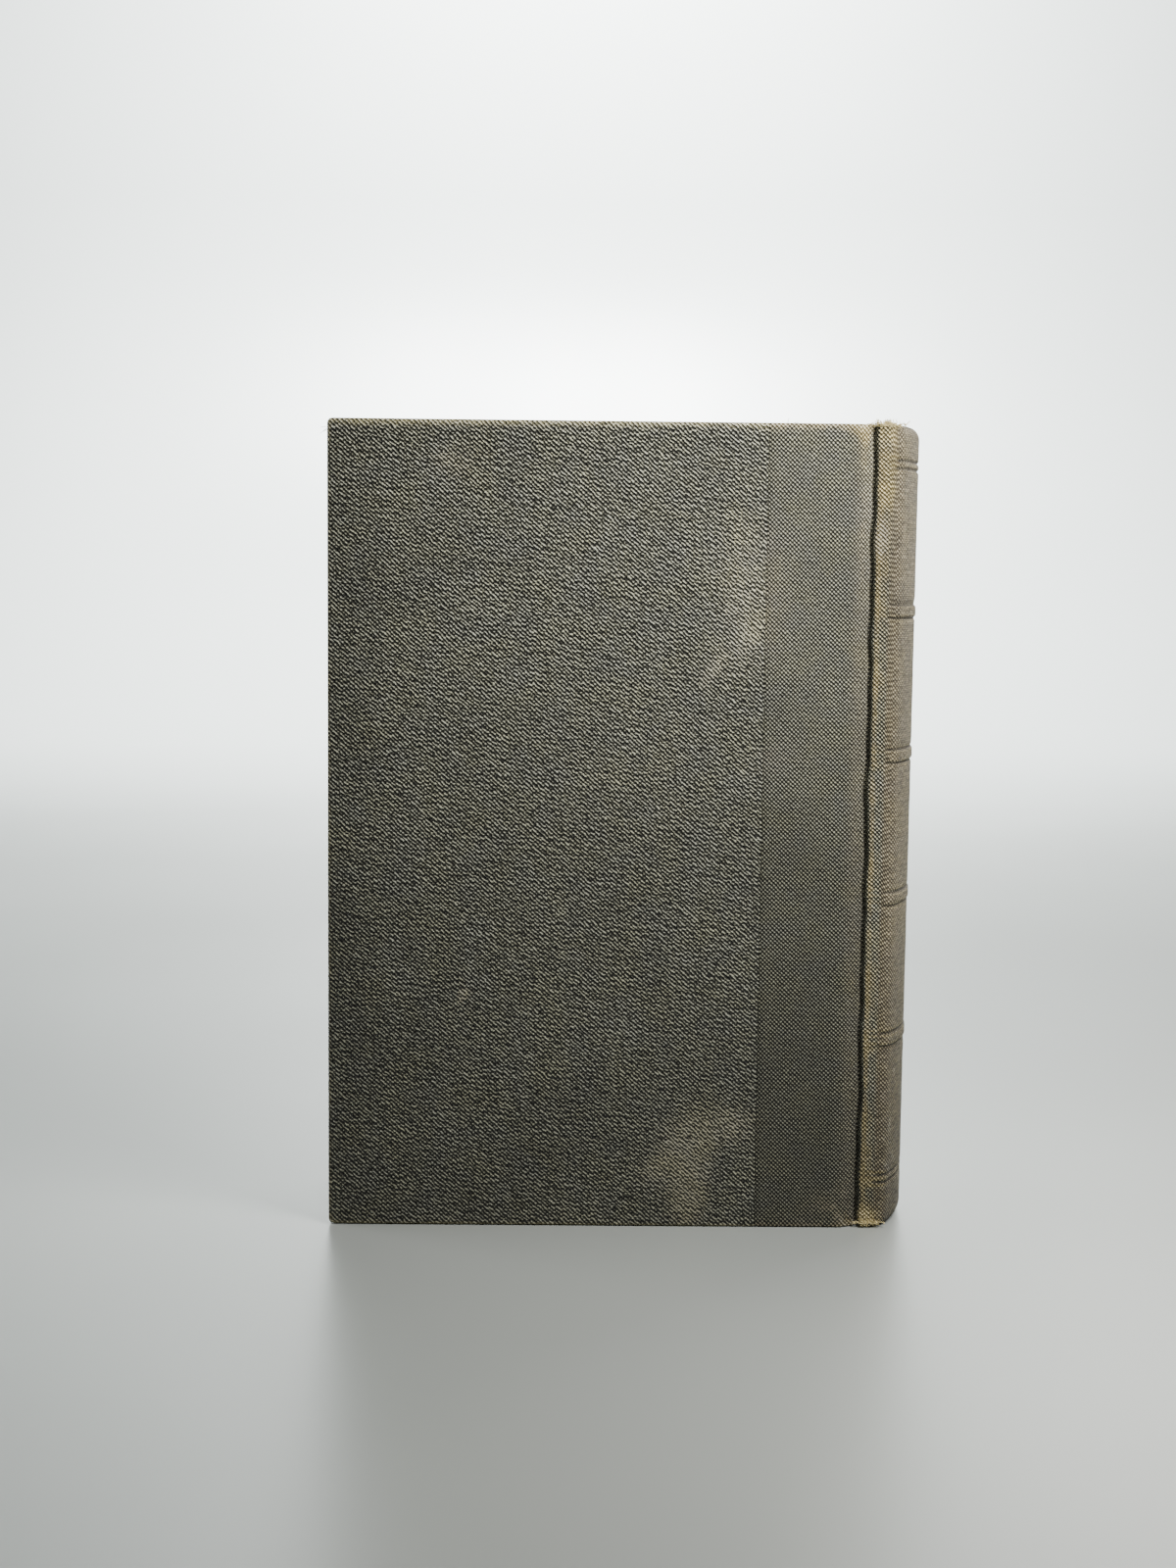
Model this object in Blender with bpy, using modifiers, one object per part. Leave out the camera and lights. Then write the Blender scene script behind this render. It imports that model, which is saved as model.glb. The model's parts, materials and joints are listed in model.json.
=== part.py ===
"""A hardback book: sewn pages in a case of two boards, side cloths and a cloth spine with four low bands.

Metres, +Z up. The book stands on its tail with its rear cover facing -Y, its front cover +Y, its spine +X
and its fore edge -X. The origin is at the middle of the tail. Both covers are modelled from their joint
line: x runs from it towards the spine, and y is the depth in from the outer face of the cover.
"""

import math

import bmesh
import bpy
from mathutils import Matrix, Vector

# Pages
PAGE_HEIGHT = 0.192
BLOCK_WIDTH = 0.1285
BLOCK_THICKNESS = 0.0346
PAPER_THICKNESS = 0.0002
FLYLEAF_STOP = 0.001

# Boards and the materials on them
SQUARE = 0.003
BOARD_THICKNESS = 0.0021
BOARD_STOP = 0.0032
BOARD_ARRIS = 0.0007
CORNER_ROUND = 0.0012
CLOTH_THICKNESS = 0.00035
TURN_IN = 0.015
FOLD_ROUND = 0.00045
LAP_WIDTH = 0.0255
PASTEDOWN_STOP = 0.0004
PASTEDOWN_STEP = 0.0007

# Joint groove, as a section across it
CREASE_FLOOR = 0.0004
CREASE_WALL = 0.0009
CREASE_LIP = 0.0015
RIDGE_WALL_ANGLE = math.radians(63.0)
LAP_EASE = 0.0005
CREASE_EASE = 0.00012
FOOT_EASE = 0.0003
CREST_EASE = 0.0008
RIDGE_ROUND = 0.002

# Spine
SPINE_RADIUS = 0.037
SHOULDER_OUT = 0.0025
INLAY_THICKNESS = 0.0007
LINING_THICKNESS = 0.0004
MULL_THICKNESS = 0.0003
INLAY_INSET = 0.0012
LINING_INSET = 0.0022
LINING_SHORT = 0.004
BEAD_RADIUS = 0.0011
RELIEF_START = 0.003
RELIEF_RUN = 0.003

# Head and tail caps
CAP_ROUND = 0.003
CAP_LIP = 0.0005
CAP_LEAN = 0.0005

# Blind lines and bands
BAND_COUNT = 4
BAND_WIDTH = 0.0033
BAND_RISE = 0.00025
LINE_WIDTH = 0.0009
LINE_DEPTH = 0.00045
FINE_PAIR_WIDTH = 0.0019
HEAD_PAIR_INSET = 0.0096
TAIL_PAIR_INSET = 0.0123

# Clearance between pieces that touch, and the distance within which two points are the same
FIT = 0.0003
SAME = FIT / 100

# Smoothness
SHARP_ANGLE = math.radians(60)
FOLD_STEPS = 2
EASE_STEPS = 3
ARC_STEPS = 14
BEAD_SIDES = 10
CAP_STEPS = 4
LIP_STEPS = 2
ROUND_PROFILE = 0.5

# Depths in from the outer face of a cover
BOARD_DEPTH = CLOTH_THICKNESS + FIT
WRAP_DEPTH = BOARD_DEPTH + BOARD_THICKNESS + FIT + CLOTH_THICKNESS
PASTEDOWN_DEPTH = WRAP_DEPTH + FIT + PAPER_THICKNESS
FLYLEAF_DEPTH = PASTEDOWN_DEPTH + FIT
PAGE_DEPTH = FLYLEAF_DEPTH + PAPER_THICKNESS + FIT
HALF_THICKNESS = BLOCK_THICKNESS / 2 + PAGE_DEPTH

# Depths in from the outer face of the spine
DOUBLED_CLOTH = 2 * CLOTH_THICKNESS + FIT
GROOVE_DEPTH = WRAP_DEPTH - DOUBLED_CLOTH
INLAY_DEPTH = CLOTH_THICKNESS + LINE_DEPTH + FIT
SPINE_FOLD_DEPTH = INLAY_DEPTH + INLAY_THICKNESS + FIT + CLOTH_THICKNESS
LINING_DEPTH = SPINE_FOLD_DEPTH + FIT
MULL_DEPTH = LINING_DEPTH + LINING_THICKNESS + FIT
BACK_DEPTH = MULL_DEPTH + MULL_THICKNESS + FIT

# Rounded back, measured from the joint line
RIDGE_Y = HALF_THICKNESS - FIT
BACK_RADIUS = SPINE_RADIUS - BACK_DEPTH
SHOULDER_Y = RIDGE_Y - DOUBLED_CLOTH - FIT
ARC_CENTRE = SHOULDER_OUT - math.sqrt(BACK_RADIUS**2 - SHOULDER_Y**2)
ARC_ANGLE = math.asin(RIDGE_Y / math.hypot(SPINE_RADIUS, RIDGE_ROUND)) - math.atan2(RIDGE_ROUND, SPINE_RADIUS)

# Places in the whole book
COVER_HEIGHT = PAGE_HEIGHT + 2 * SQUARE
COVER_WIDTH = BLOCK_WIDTH + SQUARE
BOOK_WIDTH = COVER_WIDTH + ARC_CENTRE + SPINE_RADIUS + BAND_RISE
JOINT_X = COVER_WIDTH - BOOK_WIDTH / 2
PAGE_TOP = COVER_HEIGHT - SQUARE

# Colour and roughness of each material
FINISHES = {
    "side_cloth": ((0.094, 0.089, 0.074), 0.72),
    "spine_cloth": ((0.128, 0.112, 0.086), 0.76),
    "board": ((0.260, 0.210, 0.140), 0.90),
    "endpaper": ((0.620, 0.540, 0.400), 0.88),
    "pages": ((0.600, 0.520, 0.380), 0.90),
    "card": ((0.330, 0.280, 0.200), 0.90),
    "kraft": ((0.260, 0.170, 0.090), 0.90),
    "mull": ((0.560, 0.520, 0.420), 0.92),
    "band": ((0.480, 0.400, 0.260), 0.85),
}


def clear_scene():
    for old in list(bpy.data.objects):
        bpy.data.objects.remove(old, do_unlink=True)


def new_collection(name):
    collection = bpy.data.collections.new(name)
    bpy.context.scene.collection.children.link(collection)
    return collection


def dress(obj, finish):
    """Gives the object its own Principled material."""
    colour, roughness = FINISHES[finish]
    material = bpy.data.materials.new(obj.name)
    material.use_nodes = True
    shader = material.node_tree.nodes["Principled BSDF"]
    shader.inputs["Base Color"].default_value = (*colour, 1)
    shader.inputs["Roughness"].default_value = roughness
    shader.inputs["Metallic"].default_value = 0
    obj.data.materials.append(material)


def add_object(name, data, finish, parts, parent=None):
    obj = bpy.data.objects.new(name, data)
    obj.parent = parent
    parts.objects.link(obj)
    dress(obj, finish)
    return obj


def add_solidify(obj, thickness):
    """Thickens an open sheet away from the side that its faces look to."""
    solidify = obj.modifiers.new("thickness", "SOLIDIFY")
    solidify.thickness = thickness
    solidify.offset = -1
    solidify.use_even_offset = True


def add_fold_bevel(obj):
    """Rounds a cloth's sharp folds, and leaves its gentle curves alone."""
    bevel = obj.modifiers.new("folds", "BEVEL")
    bevel.width = FOLD_ROUND
    bevel.segments = FOLD_STEPS
    bevel.limit_method = "ANGLE"
    bevel.angle_limit = SHARP_ANGLE


def to_mesh(bm, name, side=1):
    """Ends a bmesh as a mesh. Side -1 mirrors it from the rear cover to the front one."""
    mesh = bpy.data.meshes.new(name)
    bm.to_mesh(mesh)
    bm.free()
    if side < 0:
        mesh.transform(Matrix.Scale(-1, 4, (0, 1, 0)))
        mesh.flip_normals()
    return mesh


def grid_mesh(name, columns, rows, place, side=1):
    """A sheet of faces with a vertex at place(column, row) for each column and row."""
    bm = bmesh.new()
    bmesh.ops.create_grid(bm, x_segments=columns - 1, y_segments=rows - 1, size=1)
    for vertex in bm.verts:
        column = round((vertex.co.x + 1) / 2 * (columns - 1))
        row = round((vertex.co.y + 1) / 2 * (rows - 1))
        vertex.co = place(column, row)
    return to_mesh(bm, name, side)


def eased(corners, cuts):
    """The corners as a line in which each inner corner is rounded, starting at its cut from the corner."""
    line = [corners[0]]
    for before, corner, after, cut in zip(corners, corners[1:], corners[2:], cuts):
        start = corner + (before - corner).normalized() * cut
        end = corner + (after - corner).normalized() * cut
        for step in range(EASE_STEPS + 1):
            t = step / EASE_STEPS
            line.append(start.lerp(corner, t).lerp(corner.lerp(end, t), t))
    line.append(corners[-1])
    return line


def on_arc(radius, angle):
    """A point of the rounded back, from the joint line and the book's middle plane."""
    return Vector((ARC_CENTRE + radius * math.cos(angle), radius * math.sin(angle)))


def groove_foot():
    """Where the groove's wall, a doubled cloth over the shoulder of the pages, meets its floor and its top."""
    wall = Vector((math.cos(RIDGE_WALL_ANGLE), math.sin(RIDGE_WALL_ANGLE)))
    out = Vector((-wall.y, wall.x))
    on_wall = Vector((SHOULDER_OUT, SHOULDER_Y)) + out * (DOUBLED_CLOTH + FIT)
    foot = on_wall + wall * ((HALF_THICKNESS - GROOVE_DEPTH - on_wall.y) / wall.y)
    crest = on_wall + wall * ((RIDGE_Y - on_wall.y) / wall.y)
    return foot, crest


def half_section():
    """The spine cloth's outer line from the joint to the middle of the spine."""
    foot, crest = groove_foot()
    floor = Vector((FIT / 2, HALF_THICKNESS - GROOVE_DEPTH))
    arc_start = on_arc(SPINE_RADIUS, ARC_ANGLE)
    ridge_end = Vector((arc_start.x - math.tan(ARC_ANGLE) * (RIDGE_Y - arc_start.y), RIDGE_Y))
    line = eased([floor, foot, crest, ridge_end, arc_start], [FOOT_EASE, CREST_EASE, RIDGE_ROUND])[:-1]
    for step in range(1, ARC_STEPS // 2 + 1):
        line.append(on_arc(SPINE_RADIUS, ARC_ANGLE * (1 - 2 * step / ARC_STEPS)))
    return line


def spine_section():
    """Each point of the spine cloth's outer line from the rear joint to the front one, with its inward normal
    and its share of the relief: none on the ridges beside the grooves, all of it on the spine's arc."""
    half = half_section()
    rear = [Vector((point.x, -point.y)) for point in half]
    points = rear + half[-2::-1]
    section = []
    for index, point in enumerate(points):
        before = points[max(index - 1, 0)]
        after = points[min(index + 1, len(points) - 1)]
        along = (after - before).normalized()
        share = min(max((point.x - RELIEF_START) / RELIEF_RUN, 0), 1)
        section.append((point, Vector((-along.y, along.x)), share))
    return section


def fold_rows():
    """The rows of a cap, from the spine's outer face over the head to the edge of the turned-in cloth. Each
    row holds its drop from the head and its depth, beside the joint and then on the spine."""
    edge_radius = DOUBLED_CLOTH / 2
    crown_depth = SPINE_FOLD_DEPTH - CAP_LIP + CAP_LEAN
    rows = []
    for step in range(CAP_STEPS + 1):
        angle = math.pi / 2 * step / CAP_STEPS
        out, drop = 1 - math.cos(angle), 1 - math.sin(angle)
        rows.append((edge_radius * drop, edge_radius * out, CAP_ROUND * drop, crown_depth * out))
    for step in range(1, LIP_STEPS + 1):
        angle = math.pi / 2 * (1 + step / LIP_STEPS)
        out, drop = -math.cos(angle), 1 - math.sin(angle)
        lip_depth = crown_depth + CAP_LIP * out
        rows.append((edge_radius * drop, edge_radius * (1 + out), CAP_LIP * drop, lip_depth))
    for drop in (CAP_ROUND + CAP_LIP, TURN_IN):
        rows.append((drop, DOUBLED_CLOTH, drop, SPINE_FOLD_DEPTH))
    return rows


def line_pairs():
    """Middle height, distance between the two lines, and rise between them, for each pair of blind lines."""
    tail = TAIL_PAIR_INSET
    head = COVER_HEIGHT - HEAD_PAIR_INSET
    pairs = [(tail, FINE_PAIR_WIDTH, 0)]
    for band in range(1, BAND_COUNT + 1):
        pairs.append((tail + (head - tail) * band / (BAND_COUNT + 1), BAND_WIDTH, BAND_RISE))
    pairs.append((head, FINE_PAIR_WIDTH, 0))
    return pairs


def outer_rows():
    """The rows of the spine's outer face between the caps, as height and rise above the plain face."""
    rows = []
    for middle, width, rise in line_pairs():
        lower, upper = middle - width / 2, middle + width / 2
        rows.append((lower - LINE_WIDTH / 2, 0))
        rows.append((lower, -LINE_DEPTH))
        rows.append((lower + LINE_WIDTH / 2, rise))
        rows.append((upper - LINE_WIDTH / 2, rise))
        rows.append((upper, -LINE_DEPTH))
        rows.append((upper + LINE_WIDTH / 2, 0))
    return rows


def cloth_rows():
    """All rows of the spine cloth from the tail turn-in to the head turn-in: height and depth beside the
    joint, then height and depth on the spine."""
    head = [(COVER_HEIGHT - e, a, COVER_HEIGHT - d, b) for e, a, d, b in fold_rows()]
    tail = [(edge, a, drop, b) for edge, a, drop, b in reversed(fold_rows())]
    outer = [(height, 0, height, -rise) for height, rise in outer_rows()]
    return tail + outer + head


def build_spine_cloth(parts):
    """One sheet over the back: it rises out of the rear joint, goes round the spine and down into the front
    joint, is folded in at head and tail, and carries the blind lines and the bands."""
    section = spine_section()
    rows = cloth_rows()

    def place(column, row):
        point, inward, share = section[column]
        edge_z, edge_depth, spine_z, spine_depth = rows[row]
        depth = edge_depth + (spine_depth - edge_depth) * share
        spot = point + inward * depth
        return Vector((JOINT_X + spot.x, spot.y, edge_z + (spine_z - edge_z) * share))

    mesh = grid_mesh("spine_cloth", len(section), len(rows), place)
    cloth = add_object("spine_cloth", mesh, "spine_cloth", parts)
    add_solidify(cloth, CLOTH_THICKNESS)


def build_arc_sheet(name, finish, depth, thickness, inset, bottom, top, parts):
    """A sheet bent round the back, with its outer face at a depth in from the spine's."""
    radius = SPINE_RADIUS - depth
    half_angle = ARC_ANGLE - inset / radius

    def place(column, row):
        spot = on_arc(radius, half_angle * (2 * column / ARC_STEPS - 1))
        return Vector((JOINT_X + spot.x, spot.y, top if row else bottom))

    sheet = add_object(name, grid_mesh(name, ARC_STEPS + 1, 2, place), finish, parts)
    add_solidify(sheet, thickness)


def build_band(name, height, parts):
    """A rolled band along the end of the back, closed at both ends."""
    middle_radius = BACK_RADIUS - BEAD_RADIUS
    half_angle = ARC_ANGLE - LINING_INSET / middle_radius

    def place(column, row):
        turn = 2 * math.pi * column / BEAD_SIDES
        radius = middle_radius + BEAD_RADIUS * math.cos(turn)
        spot = on_arc(radius, half_angle * (2 * row / ARC_STEPS - 1))
        return Vector((JOINT_X + spot.x, spot.y, height + BEAD_RADIUS * math.sin(turn)))

    mesh = grid_mesh(name, BEAD_SIDES + 1, ARC_STEPS + 1, place)
    bm = bmesh.new()
    bm.from_mesh(mesh)
    bmesh.ops.remove_doubles(bm, verts=bm.verts, dist=SAME)
    bmesh.ops.holes_fill(bm, edges=bm.edges)
    bmesh.ops.recalc_face_normals(bm, faces=bm.faces)
    bm.to_mesh(mesh)
    bm.free()
    add_object(name, mesh, "band", parts)


def block_outline():
    """The pages seen from the head: hollow fore edge, flat sides, shoulders and rounded back."""
    side_y = BLOCK_THICKNESS / 2
    fore_x = -BLOCK_WIDTH
    fore_centre = fore_x - math.sqrt(BACK_RADIUS**2 - side_y**2)
    fore_angle = math.asin(side_y / BACK_RADIUS)
    foot, _ = groove_foot()
    clear = DOUBLED_CLOTH + FIT
    hollow = Vector((foot.x + clear * math.tan(RIDGE_WALL_ANGLE / 2), foot.y - clear))
    shoulder_angle = math.asin(SHOULDER_Y / BACK_RADIUS)

    outline = []
    for step in range(ARC_STEPS + 1):
        angle = fore_angle * (1 - 2 * step / ARC_STEPS)
        outline.append(Vector((fore_centre + BACK_RADIUS * math.cos(angle), BACK_RADIUS * math.sin(angle))))
    outline.append(Vector((-FLYLEAF_STOP, -side_y)))
    outline.append(Vector((hollow.x, -hollow.y)))
    for step in range(ARC_STEPS + 1):
        outline.append(on_arc(BACK_RADIUS, shoulder_angle * (2 * step / ARC_STEPS - 1)))
    outline.append(hollow)
    outline.append(Vector((-FLYLEAF_STOP, side_y)))
    return outline


def build_text_block(parts):
    curve = bpy.data.curves.new("text_block", "CURVE")
    curve.dimensions = "2D"
    curve.fill_mode = "BOTH"
    curve.extrude = PAGE_HEIGHT / 2
    outline = block_outline()
    spline = curve.splines.new("POLY")
    spline.points.add(len(outline) - 1)
    for point, spot in zip(spline.points, outline):
        point.co = (spot.x, spot.y, 0, 1)
    spline.use_cyclic_u = True
    block = add_object("text_block", curve, "pages", parts)
    block.location = (JOINT_X, 0, COVER_HEIGHT / 2)


def box_mesh(name, low, high, side=1):
    """A box between two corners."""
    bm = bmesh.new()
    bmesh.ops.create_cube(bm, size=1)
    bmesh.ops.scale(bm, vec=high - low, verts=bm.verts)
    bmesh.ops.translate(bm, vec=(low + high) / 2, verts=bm.verts)
    return to_mesh(bm, name, side)


def build_flyleaf(name, side, parts):
    """The free half of an endpaper, on the side of the pages."""
    low = Vector((-BLOCK_WIDTH, FLYLEAF_DEPTH, SQUARE))
    high = Vector((-FLYLEAF_STOP, FLYLEAF_DEPTH + PAPER_THICKNESS, PAGE_TOP))
    leaf = add_object(name, box_mesh(name, low, high, side), "endpaper", parts)
    leaf.location = (JOINT_X, -side * HALF_THICKNESS, 0)


def edges_on(bm, **plane):
    """The edges whose two ends lie at the given x, y or z."""
    found = []
    for edge in bm.edges:
        if all(abs(getattr(v.co, axis) - value) < SAME for v in edge.verts for axis, value in plane.items()):
            found.append(edge)
    return found


def board_mesh(name, side):
    """A board with worn corners at the fore edge and a softened arris beside the joint."""
    low = Vector((-COVER_WIDTH + BOARD_DEPTH, BOARD_DEPTH, BOARD_DEPTH))
    high = Vector((-BOARD_STOP, BOARD_DEPTH + BOARD_THICKNESS, COVER_HEIGHT - BOARD_DEPTH))
    bm = bmesh.new()
    bmesh.ops.create_cube(bm, size=1)
    bmesh.ops.scale(bm, vec=high - low, verts=bm.verts)
    bmesh.ops.translate(bm, vec=(low + high) / 2, verts=bm.verts)
    corners = edges_on(bm, x=low.x, z=low.z) + edges_on(bm, x=low.x, z=high.z)
    rounding = {"profile": ROUND_PROFILE, "affect": "EDGES"}
    bmesh.ops.bevel(bm, geom=corners, offset=CORNER_ROUND, segments=EASE_STEPS, **rounding)
    arris = edges_on(bm, x=high.x, y=low.y)
    bmesh.ops.bevel(bm, geom=arris, offset=BOARD_ARRIS, segments=1, **rounding)
    return to_mesh(bm, name, side)


def extruded(bm, edges):
    """Extrudes the edges of a sheet and returns the new vertices, still in the old place."""
    geometry = bmesh.ops.extrude_edge_only(bm, edges=edges)["geom"]
    return [item for item in geometry if isinstance(item, bmesh.types.BMVert)]


def turn_in(bm, rim):
    """Folds the rim of a cover cloth round the board's edge and turns it in over the inside."""
    for vertex in extruded(bm, rim):
        vertex.co.y = WRAP_DEPTH
    for vertex in extruded(bm, edges_on(bm, y=WRAP_DEPTH)):
        vertex.co.x = max(vertex.co.x, -COVER_WIDTH + TURN_IN)
        vertex.co.z = min(max(vertex.co.z, TURN_IN), COVER_HEIGHT - TURN_IN)
    bmesh.ops.remove_doubles(bm, verts=bm.verts, dist=SAME)


def side_cloth_mesh(name, side):
    """A flat cloth up to the seam, turned in at head, tail and fore edge with mitred corners."""
    bm = bmesh.new()
    bmesh.ops.create_grid(bm, x_segments=1, y_segments=1, size=1)
    seam = -LAP_WIDTH - FIT / 2
    for vertex in bm.verts:
        x = seam if vertex.co.x > 0 else -COVER_WIDTH
        z = COVER_HEIGHT if vertex.co.y > 0 else 0
        vertex.co = (x, 0, z)
    corners = [v for v in bm.verts if v.co.x < seam - FIT]
    rounding = {"profile": ROUND_PROFILE, "affect": "VERTICES"}
    bmesh.ops.bevel(bm, geom=corners, offset=CORNER_ROUND, segments=EASE_STEPS, **rounding)
    bmesh.ops.recalc_face_normals(bm, faces=bm.faces)
    turn_in(bm, [e for e in bm.edges if any(v.co.x < seam - FIT for v in e.verts)])
    return to_mesh(bm, name, side)


def joint_cloth_mesh(name, side):
    """The spine cloth's lap on a board: flat from the seam, then over the board's edge into the groove."""
    corners = [
        Vector((-LAP_WIDTH + FIT / 2, 0)),
        Vector((-BOARD_STOP - BOARD_ARRIS, 0)),
        Vector((-CREASE_WALL, CREASE_LIP)),
        Vector((-CREASE_FLOOR, GROOVE_DEPTH)),
        Vector((-FIT / 2, GROOVE_DEPTH)),
    ]
    line = eased(corners, [LAP_EASE, FOOT_EASE, CREASE_EASE])
    heights = [0, COVER_HEIGHT]

    def place(column, row):
        return Vector((line[column].x, line[column].y, heights[row]))

    mesh = grid_mesh(name, len(line), len(heights), place)
    bm = bmesh.new()
    bm.from_mesh(mesh)
    bpy.data.meshes.remove(mesh)
    turn_in(bm, edges_on(bm, z=0) + edges_on(bm, z=COVER_HEIGHT))
    return to_mesh(bm, name, side)


def pastedown_mesh(name, side):
    """The fixed half of an endpaper: over the turned-in cloth at the edges, and on the board between. Its
    rows run from head to tail, so that its faces look to the pages."""
    step_out = TURN_IN + FIT
    step_in = step_out + PASTEDOWN_STEP
    across = [-BLOCK_WIDTH, -COVER_WIDTH + step_out, -COVER_WIDTH + step_in, -PASTEDOWN_STOP]
    down = [PAGE_TOP, COVER_HEIGHT - step_out, COVER_HEIGHT - step_in, step_in, step_out, SQUARE]
    on_board = BOARD_DEPTH + BOARD_THICKNESS + FIT + PAPER_THICKNESS

    def place(column, row):
        inside = column > 1 and 1 < row < len(down) - 2
        return Vector((across[column], on_board if inside else PASTEDOWN_DEPTH, down[row]))

    return grid_mesh(name, len(across), len(down), place, side)


def build_cover(name, side, parts):
    """One cover on an empty at its hinge line. Side 1 is the rear cover and -1 the front one."""
    hinge = bpy.data.objects.new(f"{name}_hinge", None)
    hinge.location = (JOINT_X, -side * HALF_THICKNESS, 0)
    parts.objects.link(hinge)

    add_object(f"{name}_board", board_mesh(f"{name}_board", side), "board", parts, hinge)
    sheets = (
        ("side_cloth", side_cloth_mesh, "side_cloth", CLOTH_THICKNESS),
        ("joint_cloth", joint_cloth_mesh, "spine_cloth", CLOTH_THICKNESS),
        ("pastedown", pastedown_mesh, "endpaper", PAPER_THICKNESS),
    )
    for label, make_mesh, finish, thickness in sheets:
        piece = f"{name}_{label}"
        sheet = add_object(piece, make_mesh(piece, side), finish, parts, hinge)
        if finish != "endpaper":
            add_fold_bevel(sheet)
        add_solidify(sheet, thickness)


def main():
    clear_scene()
    parts = new_collection("hardback_book")
    build_text_block(parts)
    build_flyleaf("rear_flyleaf", 1, parts)
    build_flyleaf("front_flyleaf", -1, parts)
    build_arc_sheet("mull", "mull", MULL_DEPTH, MULL_THICKNESS, LINING_INSET,
                    SQUARE + LINING_SHORT, PAGE_TOP - LINING_SHORT, parts)
    build_arc_sheet("spine_lining", "kraft", LINING_DEPTH, LINING_THICKNESS, LINING_INSET,
                    SQUARE, PAGE_TOP, parts)
    build_arc_sheet("spine_inlay", "card", INLAY_DEPTH, INLAY_THICKNESS, INLAY_INSET,
                    CAP_ROUND, COVER_HEIGHT - CAP_ROUND, parts)
    build_band("headband", PAGE_TOP + FIT + BEAD_RADIUS, parts)
    build_band("tailband", SQUARE - FIT - BEAD_RADIUS, parts)
    build_spine_cloth(parts)
    build_cover("rear", 1, parts)
    build_cover("front", -1, parts)


main()
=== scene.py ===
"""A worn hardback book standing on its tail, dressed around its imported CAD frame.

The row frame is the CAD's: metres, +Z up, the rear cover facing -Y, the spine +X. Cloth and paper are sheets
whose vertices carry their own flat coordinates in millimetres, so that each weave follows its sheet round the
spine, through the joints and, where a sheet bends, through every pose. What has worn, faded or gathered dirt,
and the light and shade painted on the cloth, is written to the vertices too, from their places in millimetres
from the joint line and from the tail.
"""

import json
import logging
import math
import random
from collections.abc import Callable, Sequence
from dataclasses import dataclass, field
from enum import Enum

import bmesh
import bpy
import numpy as np
from mathutils import Matrix, Vector


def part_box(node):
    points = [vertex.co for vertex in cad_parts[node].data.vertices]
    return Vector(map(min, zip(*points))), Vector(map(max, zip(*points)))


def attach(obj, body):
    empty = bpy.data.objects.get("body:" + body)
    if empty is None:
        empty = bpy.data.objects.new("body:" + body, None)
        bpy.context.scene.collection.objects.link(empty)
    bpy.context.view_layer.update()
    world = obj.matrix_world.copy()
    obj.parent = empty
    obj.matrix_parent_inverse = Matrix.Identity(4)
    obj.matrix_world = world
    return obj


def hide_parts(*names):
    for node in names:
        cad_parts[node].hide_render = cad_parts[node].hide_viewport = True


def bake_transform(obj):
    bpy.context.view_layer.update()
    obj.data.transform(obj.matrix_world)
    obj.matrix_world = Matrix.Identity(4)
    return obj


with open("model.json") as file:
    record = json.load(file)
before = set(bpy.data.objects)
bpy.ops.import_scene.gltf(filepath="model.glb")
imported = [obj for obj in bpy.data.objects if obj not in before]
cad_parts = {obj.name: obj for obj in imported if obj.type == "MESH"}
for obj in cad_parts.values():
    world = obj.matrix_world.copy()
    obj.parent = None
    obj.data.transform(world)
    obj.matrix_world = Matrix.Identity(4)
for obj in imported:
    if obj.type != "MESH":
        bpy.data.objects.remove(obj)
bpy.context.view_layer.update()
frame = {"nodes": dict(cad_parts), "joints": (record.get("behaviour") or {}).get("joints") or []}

MM = 1000.0
TOUCH = 0.00001

Piece = bpy.types.Object
Material = bpy.types.Material
Socket = bpy.types.NodeSocket
log = logging.getLogger("book")


class Side(Enum):
    """A cover of the book, with the sign of the direction from its outer face to the pages."""

    REAR = 1
    FRONT = -1

    @property
    def label(self) -> str:
        """The side's name in node and body names."""
        return self.name.lower()


@dataclass(frozen=True)
class BookFrame:
    """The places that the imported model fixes, in metres."""

    joint_x: float
    half_thickness: float
    height: float
    fore_x: float
    seam_x: float
    page_low: Vector
    page_high: Vector
    wrap_depth: float
    pastedown_depth: float
    board_inner_depth: float

    @classmethod
    def read(cls) -> "BookFrame":
        """Reads the places from the joints and from the boxes of the nodes.

        Returns:
            The frame of this book, with x measured along the row frame's X.
        """
        hinge = Vector(frame["joints"][0]["pos_m"])
        cloth_low, cloth_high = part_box("rear_side_cloth")
        board_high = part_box("rear_board")[1]
        paste_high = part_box("rear_pastedown")[1]
        page_low, page_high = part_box("text_block")
        outer = cloth_low.y
        return cls(
            joint_x=hinge.x,
            half_thickness=abs(outer),
            height=cloth_high.z,
            fore_x=cloth_low.x,
            seam_x=cloth_high.x,
            page_low=page_low,
            page_high=page_high,
            wrap_depth=cloth_high.y - outer,
            pastedown_depth=paste_high.y - outer,
            board_inner_depth=board_high.y - outer,
        )

    def place(self, side: Side, x: np.ndarray, depth: np.ndarray, z: np.ndarray) -> np.ndarray:
        """Turns places on a cover into points of the row frame.

        Args:
            side: The cover.
            x: Distance from the joint line towards the spine.
            depth: Distance in from the cover's outer face.
            z: Height above the tail.

        Returns:
            The points, with their three coordinates on the last axis.
        """
        y = side.value * (np.asarray(depth, float) - self.half_thickness)
        x, y, z = np.broadcast_arrays(np.asarray(x, float) + self.joint_x, y, z)
        return np.stack([x, y, z], axis=-1)


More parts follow.
